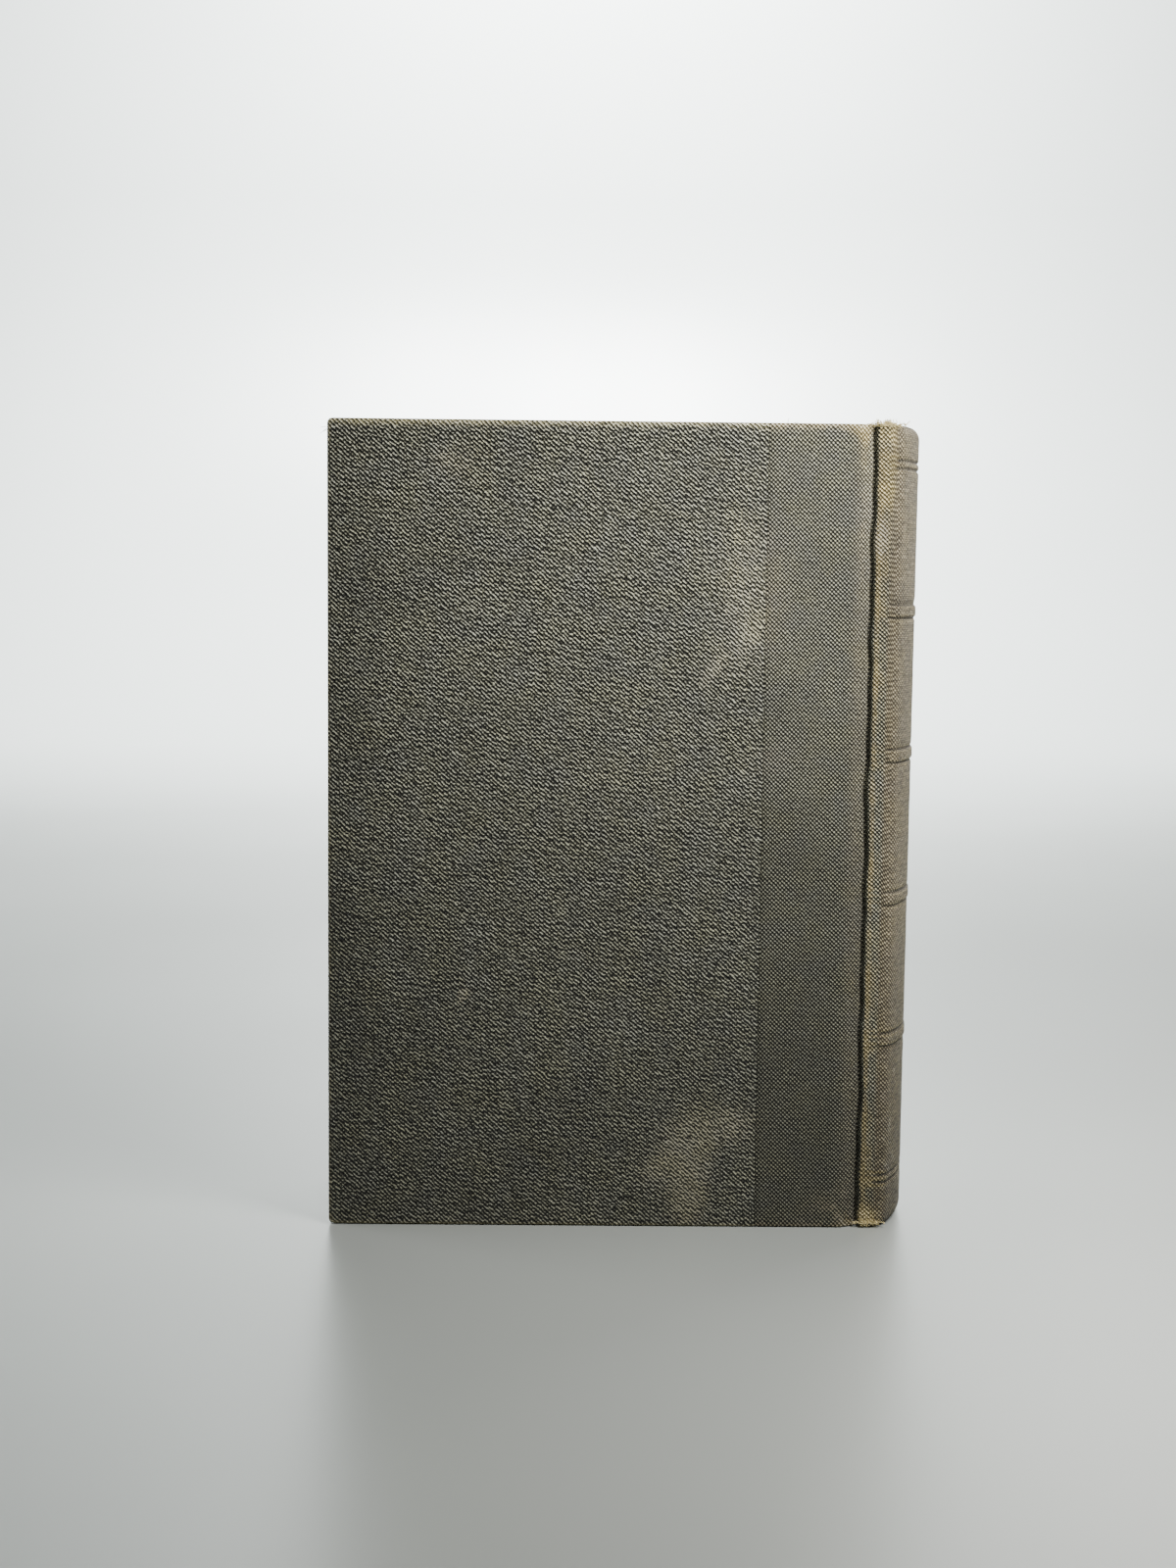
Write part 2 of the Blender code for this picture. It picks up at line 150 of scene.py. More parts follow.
def linear(hex_colour: str) -> tuple[float, float, float, float]:
    """Turns an sRGB hex colour into the linear colour that a shader takes.

    Args:
        hex_colour: Six hex digits after a hash sign.

    Returns:
        Red, green, blue and an alpha of one.
    """
    channels = [int(hex_colour[i:i + 2], 16) / 255 for i in (1, 3, 5)]
    red, green, blue = (c / 12.92 if c <= 0.04045 else ((c + 0.055) / 1.055) ** 2.4 for c in channels)
    return red, green, blue, 1.0


def ripple(seed: int, wavelength: float, *coordinates: np.ndarray) -> np.ndarray:
    """A smooth random field between about -1 and 1, the same for the same seed.

    Args:
        seed: Picks the field.
        wavelength: The length of its shortest waves, in the coordinates' unit.
        coordinates: One or two arrays of places.

    Returns:
        The field at each place.
    """
    draw = random.Random(seed)
    total = 0.0
    for octave in (1.0, 1.7, 2.6, 4.1):
        turn = draw.uniform(0, math.tau)
        phase = draw.uniform(0, math.tau)
        along = coordinates[0] * math.cos(turn) if len(coordinates) > 1 else coordinates[0]
        if len(coordinates) > 1:
            along = along + coordinates[1] * math.sin(turn)
        total = total + np.sin(along * math.tau / (wavelength * octave) + phase)
    return total / 2.6


def rising(low: float, high: float, value: np.ndarray) -> np.ndarray:
    """Rises smoothly from 0 at low to 1 at high."""
    t = np.clip((value - low) / (high - low), 0, 1)
    return t * t * (3 - 2 * t)


def falling(low: float, high: float, value: np.ndarray) -> np.ndarray:
    """Falls smoothly from 1 at low to 0 at high."""
    return 1 - rising(low, high, value)


def bump_at(value: np.ndarray, centre: float, width: float) -> np.ndarray:
    """A soft peak of height 1 at a centre, which has mostly gone at its width."""
    return np.exp(-((value - centre) / width) ** 2)


def rounded(corners: Sequence[tuple[float, float]], cuts: Sequence[float], steps: int) -> np.ndarray:
    """Rounds the inner corners of an open line.

    Args:
        corners: The corners of the line.
        cuts: How far from each inner corner its rounding starts.
        steps: Segments in each rounding.

    Returns:
        The points of the rounded line.
    """
    points = [np.array(corner, float) for corner in corners]
    line = [points[0]]
    for before, corner, after, cut in zip(points, points[1:], points[2:], cuts):
        start = corner + (before - corner) / np.linalg.norm(before - corner) * cut
        end = corner + (after - corner) / np.linalg.norm(after - corner) * cut
        for t in np.linspace(0, 1, steps + 1):
            line.append((1 - t) ** 2 * start + 2 * t * (1 - t) * corner + t * t * end)
    line.append(points[-1])
    return np.array(line)


def resampled(line: np.ndarray, stations: np.ndarray) -> np.ndarray:
    """The points of a line at the given distances along it."""
    lengths = along(line)
    return np.stack([np.interp(stations, lengths, line[:, axis]) for axis in range(line.shape[1])], axis=1)


def along(line: np.ndarray) -> np.ndarray:
    """The distance along a line of each of its points."""
    return np.concatenate([[0], np.cumsum(np.linalg.norm(np.diff(line, axis=0), axis=1))])


def pick_only(obj: Piece) -> None:
    """Deselects everything, then selects one object and makes it active.

    Args:
        obj: The object.
    """
    bpy.ops.object.select_all(action="DESELECT")
    obj.select_set(True)
    bpy.context.view_layer.objects.active = obj


def grid_sheet(name: str, points: np.ndarray) -> Piece:
    """Adds a grid and moves its vertices to their places, rows first.

    Args:
        name: The name of the piece.
        points: Rows by columns by three coordinates, in the row frame.

    Returns:
        The new sheet, with its place in its mesh.
    """
    rows, columns = points.shape[:2]
    bpy.ops.object.select_all(action="DESELECT")
    bpy.ops.mesh.primitive_grid_add(x_subdivisions=columns - 1, y_subdivisions=rows - 1, size=1)
    sheet = bpy.context.object
    sheet.name = name
    sheet.data.name = name
    flat = np.empty(len(sheet.data.vertices) * 3)
    sheet.data.vertices.foreach_get("co", flat)
    flat = flat.reshape(-1, 3)
    column = np.rint((flat[:, 0] + 0.5) * (columns - 1)).astype(int)
    row = np.rint((flat[:, 1] + 0.5) * (rows - 1)).astype(int)
    sheet.data.vertices.foreach_set("co", points[row, column].ravel())
    sheet.data.update()
    return sheet


def write_attribute(obj: Piece, name: str, values: np.ndarray) -> None:
    """Stores a number or a vector for each vertex, in the order of the vertices.

    Args:
        obj: The piece.
        name: The attribute's name, which its material reads.
        values: One number or one vector for each vertex.
    """
    kind, key = ("FLOAT", "value") if values.ndim == 1 else ("FLOAT_VECTOR", "vector")
    attribute = obj.data.attributes.get(name) or obj.data.attributes.new(name, kind, "POINT")
    attribute.data.foreach_set(key, np.ascontiguousarray(values, dtype=np.float32).ravel())


def write_sheet(sheet: Piece, across: np.ndarray, up: np.ndarray, marks: dict[str, np.ndarray]) -> None:
    """Stores a sheet's flat coordinates and its marks for each vertex.

    Args:
        sheet: The piece. Its vertices and all the values are in the same order, rows first.
        across: Its first flat coordinate, in millimetres.
        up: Its second flat coordinate, in millimetres.
        marks: Its other attributes by name, as values that fit the coordinates.
    """
    across, up = np.broadcast_arrays(across, up)
    write_attribute(sheet, "flat_mm", np.stack([across, up, 0 * up], axis=-1).reshape(-1, 3))
    for name, values in marks.items():
        write_attribute(sheet, name, np.broadcast_to(values, up.shape).ravel())


def climbed(placed: np.ndarray, first: int, start: float) -> np.ndarray:
    """How far up a sheet its points lie, measured along it.

    Args:
        placed: The sheet's points, rows first.
        first: The row that counts as lying at its own height.
        start: The height of that row.

    Returns:
        The distance up the sheet of each point, in millimetres.
    """
    steps = np.linalg.norm(np.diff(placed, axis=0, prepend=placed[:1]), axis=2)
    lengths = np.cumsum(steps, axis=0)
    return (lengths - lengths[first] + start) * MM


@dataclass(frozen=True)
class Wear:
    """What age and use have done to a cloth, and its painted light and shade, as values for its vertices that
    its material reads.
    """

    shade: np.ndarray
    rub: np.ndarray
    soil_and_shade: np.ndarray
    dust: np.ndarray
    sun: np.ndarray | float = 0.0
    pucker: np.ndarray | float = 0.0

    def marks(self) -> dict[str, np.ndarray]:
        """The attributes by name, all but the painted shade clipped to lie between 0 and 1."""
        return {name: mark if name == "shade" else np.clip(mark, 0, 1) for name, mark in vars(self).items()}


def vertex_places(obj: Piece) -> np.ndarray:
    """The places of a mesh's vertices.

    Args:
        obj: The piece.

    Returns:
        One row of three coordinates for each vertex.
    """
    places = np.empty(len(obj.data.vertices) * 3)
    obj.data.vertices.foreach_get("co", places)
    return places.reshape(-1, 3)


def apply_modifier(obj: Piece, kind: str, **settings: object) -> None:
    """Adds a modifier with its settings and applies it.

    Args:
        obj: The piece.
        kind: The modifier's type.
        settings: Its properties.
    """
    pick_only(obj)
    bpy.ops.object.modifier_add(type=kind)
    modifier = obj.modifiers[-1]
    for key, value in settings.items():
        setattr(modifier, key, value)
    bpy.ops.object.modifier_apply(modifier=modifier.name)


def close_mesh(piece: Piece, merge: float = 0.0) -> None:
    """Turns a mesh's faces outwards, and on request closes it first.

    Args:
        piece: The piece.
        merge: The distance within which vertices merge before the holes are filled, or 0 to do neither.
    """
    pick_only(piece)
    bpy.ops.object.mode_set(mode="EDIT")
    bpy.ops.mesh.select_all(action="SELECT")
    if merge:
        bpy.ops.mesh.remove_doubles(threshold=merge)
        bpy.ops.mesh.fill_holes(sides=0)
        bpy.ops.mesh.select_all(action="SELECT")
    bpy.ops.mesh.normals_make_consistent(inside=False)
    bpy.ops.object.mode_set(mode="OBJECT")


def thicken(sheet: Piece, thickness: float) -> None:
    """Gives a sheet its thickness, on the side away from its faces."""
    apply_modifier(sheet, "SOLIDIFY", thickness=thickness, offset=-1)


def smooth(obj: Piece, angle: float = math.radians(50)) -> None:
    """Shades a piece smooth up to an angle between faces."""
    pick_only(obj)
    bpy.ops.object.shade_smooth_by_angle(angle=angle)


def facing_out(sheet: Piece, towards: Vector) -> None:
    """Turns an open sheet's faces round where most of them look away from a direction.

    Args:
        sheet: The open sheet.
        towards: The direction that its faces should look in.
    """
    total = sum((polygon.normal * polygon.area for polygon in sheet.data.polygons), Vector())
    if total.dot(towards) < 0:
        sheet.data.flip_normals()


def join(name: str, pieces: Sequence[Piece]) -> Piece:
    """Joins pieces into one object under a new name.

    Args:
        name: The name of the joined object.
        pieces: The objects to join.

    Returns:
        The joined object.
    """
    bpy.ops.object.select_all(action="DESELECT")
    for piece in pieces:
        piece.select_set(True)
    bpy.context.view_layer.objects.active = pieces[0]
    bpy.ops.object.join()
    joined = bpy.context.object
    joined.name = name
    joined.data.name = name
    return joined


class Look:
    """A material under construction: a node tree with its Principled shader."""

    def __init__(self, name: str) -> None:
        """Makes an empty material of that name.

        Args:
            name: The name of the material.
        """
        self.material = bpy.data.materials.new(name)
        self.material.use_nodes = True
        self.tree = self.material.node_tree
        self.shader = self.tree.nodes["Principled BSDF"]

    def add(self, kind: str, *inputs: object, out: int | str = 0, **settings: object) -> Socket:
        """Adds a node with its settings and links.

        Args:
            kind: The node's type.
            inputs: Its inputs from the first on: a socket to link, a value, or None to leave it as it is.
            out: Which of its outputs to return.
            settings: Its properties.

        Returns:
            The chosen output.
        """
        node = self.tree.nodes.new(kind)
        for key, value in settings.items():
            setattr(node, key, value)
        sockets = [socket for socket in node.inputs if socket.enabled]
        for socket, value in zip(sockets, inputs):
            if isinstance(value, Socket):
                self.tree.links.new(value, socket)
            elif value is not None:
                socket.default_value = value
        outputs = [socket for socket in node.outputs if socket.enabled]
        return node.outputs[out] if isinstance(out, str) else outputs[out]

    def finish(self, colour: Socket, roughness: Socket, height: Socket, bump_mm: float) -> Material:
        """Links the pattern to the shader.

        Args:
            colour: The base colour's socket.
            roughness: The roughness socket.
            height: The surface's height, from 0 to 1.
            bump_mm: What a height of 1 stands for, in millimetres.

        Returns:
            The finished material.
        """
        self.tree.links.new(colour, self.shader.inputs["Base Color"])
        self.tree.links.new(roughness, self.shader.inputs["Roughness"])
        normal = self.add(BUMP, 1.0, bump_mm / MM, None, height, out="Normal")
        self.tree.links.new(normal, self.shader.inputs["Normal"])
        return self.material


ATTRIBUTE = "ShaderNodeAttribute"
BUMP = "ShaderNodeBump"
MATH = "ShaderNodeMath"
MIX = "ShaderNodeMix"
NOISE = "ShaderNodeTexNoise"
OBJECT_PLACE = "ShaderNodeTexCoord"
RANGE = "ShaderNodeMapRange"
MAPPING = "ShaderNodeMapping"
SPLIT = "ShaderNodeSeparateXYZ"
VECTOR = "ShaderNodeVectorMath"


class Grain(Enum):
    """A bookcloth's surface as waves: how many in a millimetre across and up, their weight and swerving."""

    # The real crinkle is about 0.65 mm from crest to crest, too fine to show, so it is drawn at 0.78 mm
    CRINKLE = (
        (0.88, 0.93, 1.00, 0.7),
        (0.04, 0.68, 0.44, 1.9),
        (-0.14, 1.00, 0.38, 1.9),
        (-0.86, 0.87, 0.42, 0.7),
        (0.46, 0.52, 0.16, 1.9),
        (0.28, 0.90, 0.52, 1.9),
    )
    # The real weave has a thread every 0.5 mm, too fine to show, so it is drawn at 0.73 mm
    WEAVE = (
        (0.96, 0.98, 0.95, 0.4),
        (0.02, 0.80, 0.24, 1.9),
        (-0.96, 0.90, 0.80, 0.4),
    )


@dataclass(frozen=True)
class Dye:
    """A cloth's colour where its threads dip and where they crown."""

    dip: str
    crown: str

    def over(self, look: Look, crown: Socket) -> Socket:
        """Draws the dye over a cloth's relief, from its dips to its crowns."""
        return look.add(MIX, crown, linear(self.dip), linear(self.crown), data_type="RGBA")


@dataclass(frozen=True)
class BookCloth:
    """Starch-filled bookcloth, faded, rubbed through to bare thread where it is handled, and dusty."""

    # Dyed cotton, filled with starch and pressed between rollers, is a dull skin with a shallow relief. The
    # eye sees crowns that catch the light and wear pale, dips that stay dark, and a trace of sheen. The pale
    # crown colours of its dyes are partly that wear and partly painted highlights, the light that the crowns
    # catch.
    name: str
    grain: Grain
    dye: Dye
    sunned: Dye
    worn: Dye
    dust: str
    drift_mm: float
    crease_mm: tuple[float, float]
    creasing: float
    bump_mm: float
    crown_at: float
    roughness: float
    mottle: float = 0.0
    dip_at: float = -0.4
    crease_turn: float = 0.14
    drift_every_mm: float = 2.5
    swerve_every_mm: float = 2.0
    pucker_waves: tuple[float, float] = (0.42, 0.86)
    pucker_patch_mm: float = 1.111
    speck_mm: float = 0.3846
    cloud_mm: float = 28.57
    patch_mm: float = 9.09
    mottle_mm: tuple[float, float] = (2.222, 1.3333)
    cool: str = "#f3f2f6"
    warm: str = "#fffcf0"

    def grain_height(self, look: Look, flat: Socket) -> Socket:
        """Draws the cloth's grain.

        Args:
            look: The material under construction.
            flat: The cloth's own coordinates in millimetres.

        Returns:
            The height of the surface, from about -1 to 1.
        """
        drift = look.add(NOISE, flat, 1 / self.drift_every_mm, 2.0, 0.6, out="Color")
        drift = look.add(VECTOR, drift, (0.5, 0.5, 0.5), operation="SUBTRACT")
        drift = look.add(VECTOR, drift, (self.drift_mm, self.drift_mm, 0.0), operation="MULTIPLY")
        bent = look.add(VECTOR, flat, drift, operation="ADD")
        swerves = look.add(NOISE, flat, 1 / self.swerve_every_mm, 1.0, 0.5, out="Color")
        swerves = look.add(SPLIT, swerves, out="X").node.outputs
        height = 0.0
        for index, (across, up, weight, swerving) in enumerate(self.grain.value):
            phase = look.add(VECTOR, bent, (math.tau * across, math.tau * up, 0.0), operation="DOT_PRODUCT")
            phase = look.add(MATH, swerves[index % 3], math.tau * swerving, phase, operation="MULTIPLY_ADD")
            wave = look.add(MATH, phase, operation="COSINE")
            height = look.add(MATH, wave, weight, height, operation="MULTIPLY_ADD")
        across, up = self.pucker_waves
        phase = look.add(VECTOR, bent, (math.tau * across, math.tau * up, 0.0), operation="DOT_PRODUCT")
        wave = look.add(MATH, phase, operation="COSINE")
        puckered = look.add(ATTRIBUTE, out="Fac", attribute_name="pucker")
        patchy = look.add(NOISE, flat, 1 / self.pucker_patch_mm, 1.0, 0.5, out="Fac")
        patchy = look.add(RANGE, patchy, 0.4, 0.6, 0.1, 1.0)
        puckered = look.add(MATH, puckered, patchy, operation="MULTIPLY")
        height = look.add(MATH, wave, puckered, height, operation="MULTIPLY_ADD")
        across, up = self.crease_mm
        creased = look.add(MAPPING, flat, None, (0.0, 0.0, self.crease_turn), (1 / across, 1 / up, 1.0))
        creased = look.add(NOISE, creased, 1.0, 2.0, 0.6, out="Fac")
        creased = look.add(RANGE, creased, 0.3, 0.7, -self.creasing, self.creasing)
        return look.add(MATH, height, creased, operation="ADD")

    def dyed(self, look: Look, crown: Socket, specks: Socket, sun: Socket, rub: Socket) -> Socket:
        """Draws the dye, the sunned dye over it and the bare thread where the cloth has rubbed through.

        Args:
            look: The material under construction.
            crown: 0 in the dips of the relief, 1 on its crowns.
            specks: A fine noise.
            sun: How far the dye has faded.
            rub: How hard the cloth has been rubbed.

        Returns:
            The colour.
        """
        dyed, sunned, worn = (dye.over(look, crown) for dye in (self.dye, self.sunned, self.worn))
        colour = look.add(MIX, sun, dyed, sunned, data_type="RGBA")
        grip = look.add(RANGE, specks, 0.3, 0.7, -0.35, 0.35)
        on_crown = look.add(RANGE, crown, 0.0, 1.0, -0.18, 0.18)
        grip = look.add(MATH, grip, on_crown, operation="ADD")
        grip = look.add(MATH, rub, 2.2, grip, operation="MULTIPLY_ADD")
        worn_through = look.add(MATH, grip, 0.55, operation="SUBTRACT", use_clamp=True)
        return look.add(MIX, worn_through, colour, worn, data_type="RGBA")

    def dusted(self, look: Look, colour: Socket, crown: Socket, specks: Socket, dust: Socket) -> Socket:
        """Draws the dust and the smears, which stay on the crowns.

        Args:
            look: The material under construction.
            colour: The cloth's colour.
            crown: 0 in the dips of the relief, 1 on its crowns.
            specks: A fine noise.
            dust: How much dust lies there.

        Returns:
            The colour.
        """
        catch = look.add(MATH, crown, 0.02, operation="ADD")
        catch = look.add(MATH, catch, look.add(RANGE, specks, 0.35, 0.65, 2.4, 7.0), operation="MULTIPLY")
        settled = look.add(MATH, catch, dust, operation="MULTIPLY", use_clamp=True)
        settled = look.add(MATH, settled, look.add(RANGE, dust, 0.0, 0.5, 0.0, 0.95), operation="MULTIPLY")
        return look.add(MIX, settled, colour, linear(self.dust), data_type="RGBA")

    def shaded(self, look: Look, colour: Socket, flat: Socket, shade: Socket, handled: Socket,
               soil_and_shade: Socket) -> Socket:
        """Draws the painted light and shade, the cloth's uneven paleness and tint, its dirt and the painted
        shade in its groove.

        Args:
            look: The material under construction.
            colour: The cloth's colour.
            flat: The cloth's own coordinates in millimetres.
            shade: The painted light and shade, as a factor on the colour.
            handled: How much it has faded or rubbed, which leaves it mottled.
            soil_and_shade: How dirty it is, with the painted shade in the groove.

        Returns:
            The colour.
        """
        cloudy = look.add(NOISE, flat, 1 / self.cloud_mm, 3.0, 0.6, out="Fac")
        cloudy = look.add(RANGE, cloudy, 0.3, 0.7, 0.86, 1.12)
        across, up = self.mottle_mm
        mottled = look.add(MAPPING, flat, None, None, (1 / across, 1 / up, 1.0))
        mottled = look.add(NOISE, mottled, 1.0, 2.0, 0.7, out="Fac")
        mottled = look.add(RANGE, mottled, 0.35, 0.65, -self.mottle, self.mottle)
        mottled = look.add(MATH, mottled, handled, 1.0, operation="MULTIPLY_ADD")
        # Dirt, and the painted shade in the groove, darken the colour
        clear_of_soil_and_shade = look.add(RANGE, soil_and_shade, 0.0, 1.0, 1.0, 0.12)
        for factor in (cloudy, mottled, clear_of_soil_and_shade):
            shade = look.add(MATH, shade, factor, operation="MULTIPLY")
        patches = look.add(NOISE, flat, 1 / self.patch_mm, 3.0, 0.6, out="Fac")
        patches = look.add(RANGE, patches, 0.35, 0.65, 0.0, 1.0)
        tint = look.add(MIX, patches, linear(self.cool), linear(self.warm), data_type="RGBA")
        for factor in (tint, shade):
            colour = look.add(VECTOR, colour, factor, operation="MULTIPLY")
        return colour

    def material(self) -> Material:
        """Makes the material.

        Returns:
            The cloth, which reads the sheet's flat_mm, shade, sun, rub, soil, dust and pucker attributes.
        """
        look = Look(self.name)
        flat = look.add(ATTRIBUTE, out="Vector", attribute_name="flat_mm")
        marks = ("shade", "sun", "rub", "soil_and_shade", "dust")
        shade, sun, rub, soil_and_shade, dust = (look.add(ATTRIBUTE, out="Fac", attribute_name=mark) for mark in marks)
        pressed = look.add(RANGE, sun, 0.0, 1.0, 1.0, 0.75)
        height = look.add(MATH, self.grain_height(look, flat), pressed, operation="MULTIPLY")
        crown = look.add(RANGE, height, self.dip_at, self.crown_at, 0.0, 1.0)
        crown = look.add(MATH, crown, 1.7, operation="POWER")
        specks = look.add(NOISE, flat, 1 / self.speck_mm, 3.0, 0.7, out="Fac")
        colour = self.dyed(look, crown, specks, sun, rub)
        colour = self.dusted(look, colour, crown, specks, dust)
        handled = look.add(MATH, sun, rub, operation="MAXIMUM")
        colour = self.shaded(look, colour, flat, shade, handled, soil_and_shade)
        rough = look.add(RANGE, crown, 0.0, 1.0, self.roughness + 0.12, self.roughness - 0.06)
        look.shader.inputs["Sheen Weight"].default_value = 0.08
        look.shader.inputs["Sheen Roughness"].default_value = 0.6
        look.shader.inputs["Specular IOR Level"].default_value = 0.35
        return look.finish(colour, rough, height, self.bump_mm)


@dataclass(frozen=True)
class BookPaper:
    """Uncoated book paper, browned from its edges in and spotted with age."""

    # Wove paper of wood pulp, left uncoated, is matt and nearly smooth. The eye sees faint cloudy fibres, a
    # brown that creeps in from the edges, and small rusty spots.
    name: str
    middle: str
    edge: str
    spot: str
    fibre_mm: float = 0.6
    cloud_mm: float = 25.0
    spot_mm: float = 3.03
    bump_mm: float = 0.02

    def material(self) -> Material:
        """Makes the material.

        Returns:
            The paper, which reads the sheet's flat_mm and age attributes.
        """
        look = Look(self.name)
        flat = look.add(ATTRIBUTE, out="Vector", attribute_name="flat_mm")
        age = look.add(ATTRIBUTE, out="Fac", attribute_name="age")
        fibre = look.add(NOISE, flat, 1 / self.fibre_mm, 4.0, 0.7, out="Fac")
        cloud = look.add(NOISE, flat, 1 / self.cloud_mm, 3.0, 0.6, out="Fac")
        spots = look.add(NOISE, flat, 1 / self.spot_mm, 2.0, 0.5, out="Fac")
        brown = look.add(RANGE, cloud, 0.35, 0.7, -0.12, 0.25)
        brown = look.add(MATH, brown, age, operation="ADD", use_clamp=True)
        colour = look.add(MIX, brown, linear(self.middle), linear(self.edge), data_type="RGBA")
        spots = look.add(RANGE, spots, 0.69, 0.76, 0.0, 0.55)
        colour = look.add(MIX, spots, colour, linear(self.spot), data_type="RGBA")
        shade = look.add(RANGE, fibre, 0.3, 0.7, 0.95, 1.04)
        colour = look.add(VECTOR, colour, shade, operation="MULTIPLY")
        rough = look.add(RANGE, fibre, 0.3, 0.7, 0.82, 0.94)
        look.shader.inputs["Specular IOR Level"].default_value = 0.3
        return look.finish(colour, rough, fibre, self.bump_mm)


@dataclass(frozen=True)
class PageEdges:
    """The cut edges of old pages: fine lines of paper and shadow, browned and dusty."""

    # A trimmed stack of paper is matt. The eye sees fine lines along the pages, broken where leaves stand a
    # little proud of each other, and broad browned and dusty clouds.
    name: str = "page_edges_aged_paper"
    paper: str = "#c9b893"
    gap: str = "#7d6a47"
    leaf_mm: float = 0.2
    line_mm: float = 25.0
    cloud_mm: float = 22.222
    bump_mm: float = 0.05

    def material(self) -> Material:
        """Makes the material, whose lines follow the pages through the block's thickness.

        Returns:
            The page edges, drawn on Object coordinates because the block keeps its shape.
        """
        look = Look(self.name)
        place = look.add(OBJECT_PLACE, out="Object")
        # A page is 0.1 mm thick, which is too fine to show, so its lines are drawn twice as coarse
        across, over = MM / self.line_mm, MM / self.leaf_mm
        lines = look.add(MAPPING, place, None, None, (across, over, across))
        lines = look.add(NOISE, lines, 1.0, 2.0, 0.55, out="Fac")
        lines = look.add(RANGE, lines, 0.3, 0.62, 0.0, 1.0)
        cloud = look.add(NOISE, place, MM / self.cloud_mm, 3.0, 0.6, out="Fac")
        colour = look.add(MIX, lines, linear(self.gap), linear(self.paper), data_type="RGBA")
        shade = look.add(RANGE, cloud, 0.3, 0.7, 0.78, 1.06)
        colour = look.add(VECTOR, colour, shade, operation="MULTIPLY")
        rough = look.add(RANGE, lines, 0.0, 1.0, 0.95, 0.85)
        look.shader.inputs["Specular IOR Level"].default_value = 0.3
        return look.finish(colour, rough, lines, self.bump_mm)


@dataclass(frozen=True)
class Fibreboard:
    """Board, card, kraft paper or bare cotton: short fibres laid at random, with darker specks."""

    # Fibres pressed or matted without any coat are fully matt. The eye sees a soft felted surface, uneven by
    # a tenth in brightness, with a few darker specks.
    name: str
    colour: str
    speck: str
    fibre_mm: float = 0.5
    bump_mm: float = 0.04

    def material(self) -> Material:
        """Makes the material on Object coordinates.

        Returns:
            The board, card, paper or loose fibre.
        """
        look = Look(self.name)
        place = look.add(OBJECT_PLACE, out="Object")
        fibre = look.add(NOISE, place, MM / self.fibre_mm, 3.0, 0.7, out="Fac")
        specks = look.add(NOISE, place, MM / (3 * self.fibre_mm), 1.0, 0.5, out="Fac")
        specks = look.add(RANGE, specks, 0.6, 0.72, 0.0, 0.8)
        colour = look.add(MIX, specks, linear(self.colour), linear(self.speck), data_type="RGBA")
        shade = look.add(RANGE, fibre, 0.3, 0.7, 0.85, 1.1)
        colour = look.add(VECTOR, colour, shade, operation="MULTIPLY")
        rough = look.add(RANGE, fibre, 0.3, 0.7, 0.85, 0.95)
        return look.finish(colour, rough, fibre, self.bump_mm)


@dataclass(frozen=True)
class OpenMuslin:
    """Mull: stiffened open muslin, square threads with glue showing between them."""

    # Open muslin, woven, starched and soaked with glue. The eye sees a square net of dull pale threads and,
    # in its meshes, smooth brown glue with a faint shine.
    name: str = "mull_starched_muslin"
    thread: str = "#cfc4a4"
    glue: str = "#8d7448"
    pitch_mm: float = 0.9
    bump_mm: float = 0.12

    def material(self) -> Material:
        """Makes the material on Object coordinates, across the back and up it.

        Returns:
            The muslin.
        """
        look = Look(self.name)
        place = look.add(OBJECT_PLACE, out="Object")
        split = look.add(SPLIT, place, out="X").node
        threads = []
        for axis in ("Y", "Z"):
            turns = look.add(MATH, split.outputs[axis], math.tau * MM / self.pitch_mm, operation="MULTIPLY")
            threads.append(look.add(MATH, turns, operation="SINE"))
        raised = look.add(MATH, *threads, operation="MAXIMUM")
        raised = look.add(RANGE, raised, 0.2, 0.8, 0.0, 1.0)
        colour = look.add(MIX, raised, linear(self.glue), linear(self.thread), data_type="RGBA")
        rough = look.add(RANGE, raised, 0.0, 1.0, 0.6, 0.92)
        return look.finish(colour, rough, raised, self.bump_mm)


@dataclass(frozen=True)
class WoundThread:
    """Cotton thread wound round a core, in two colours that change by the wrap."""

    # Cotton thread, spun smooth and wound tight. The eye sees stripes of two colours, each wrap with its own
    # round shadow, and fine strands along it with a soft sheen.
    name: str
    first: str
    second: str
    strand_mm: float = 0.12
    bump_mm: float = 0.05

    def material(self) -> Material:
        """Makes the material, which reads the winding's wrap attribute and its flat_mm.

        Returns:
            The wound thread.
        """
        look = Look(self.name)
        flat = look.add(ATTRIBUTE, out="Vector", attribute_name="flat_mm")
        wrap = look.add(ATTRIBUTE, out="Fac", attribute_name="wrap")
        strands = look.add(MAPPING, flat, None, None, (1 / self.strand_mm, 0.6, 1.0))
        strands = look.add(NOISE, strands, 1.0, 2.0, 0.6, out="Fac")
        colour = look.add(MIX, wrap, linear(self.first), linear(self.second), data_type="RGBA")
        shade = look.add(RANGE, strands, 0.3, 0.7, 0.75, 1.15)
        colour = look.add(VECTOR, colour, shade, operation="MULTIPLY")
        rough = look.add(RANGE, strands, 0.3, 0.7, 0.7, 0.9)
        look.shader.inputs["Sheen Weight"].default_value = 0.15
        return look.finish(colour, rough, strands, self.bump_mm)


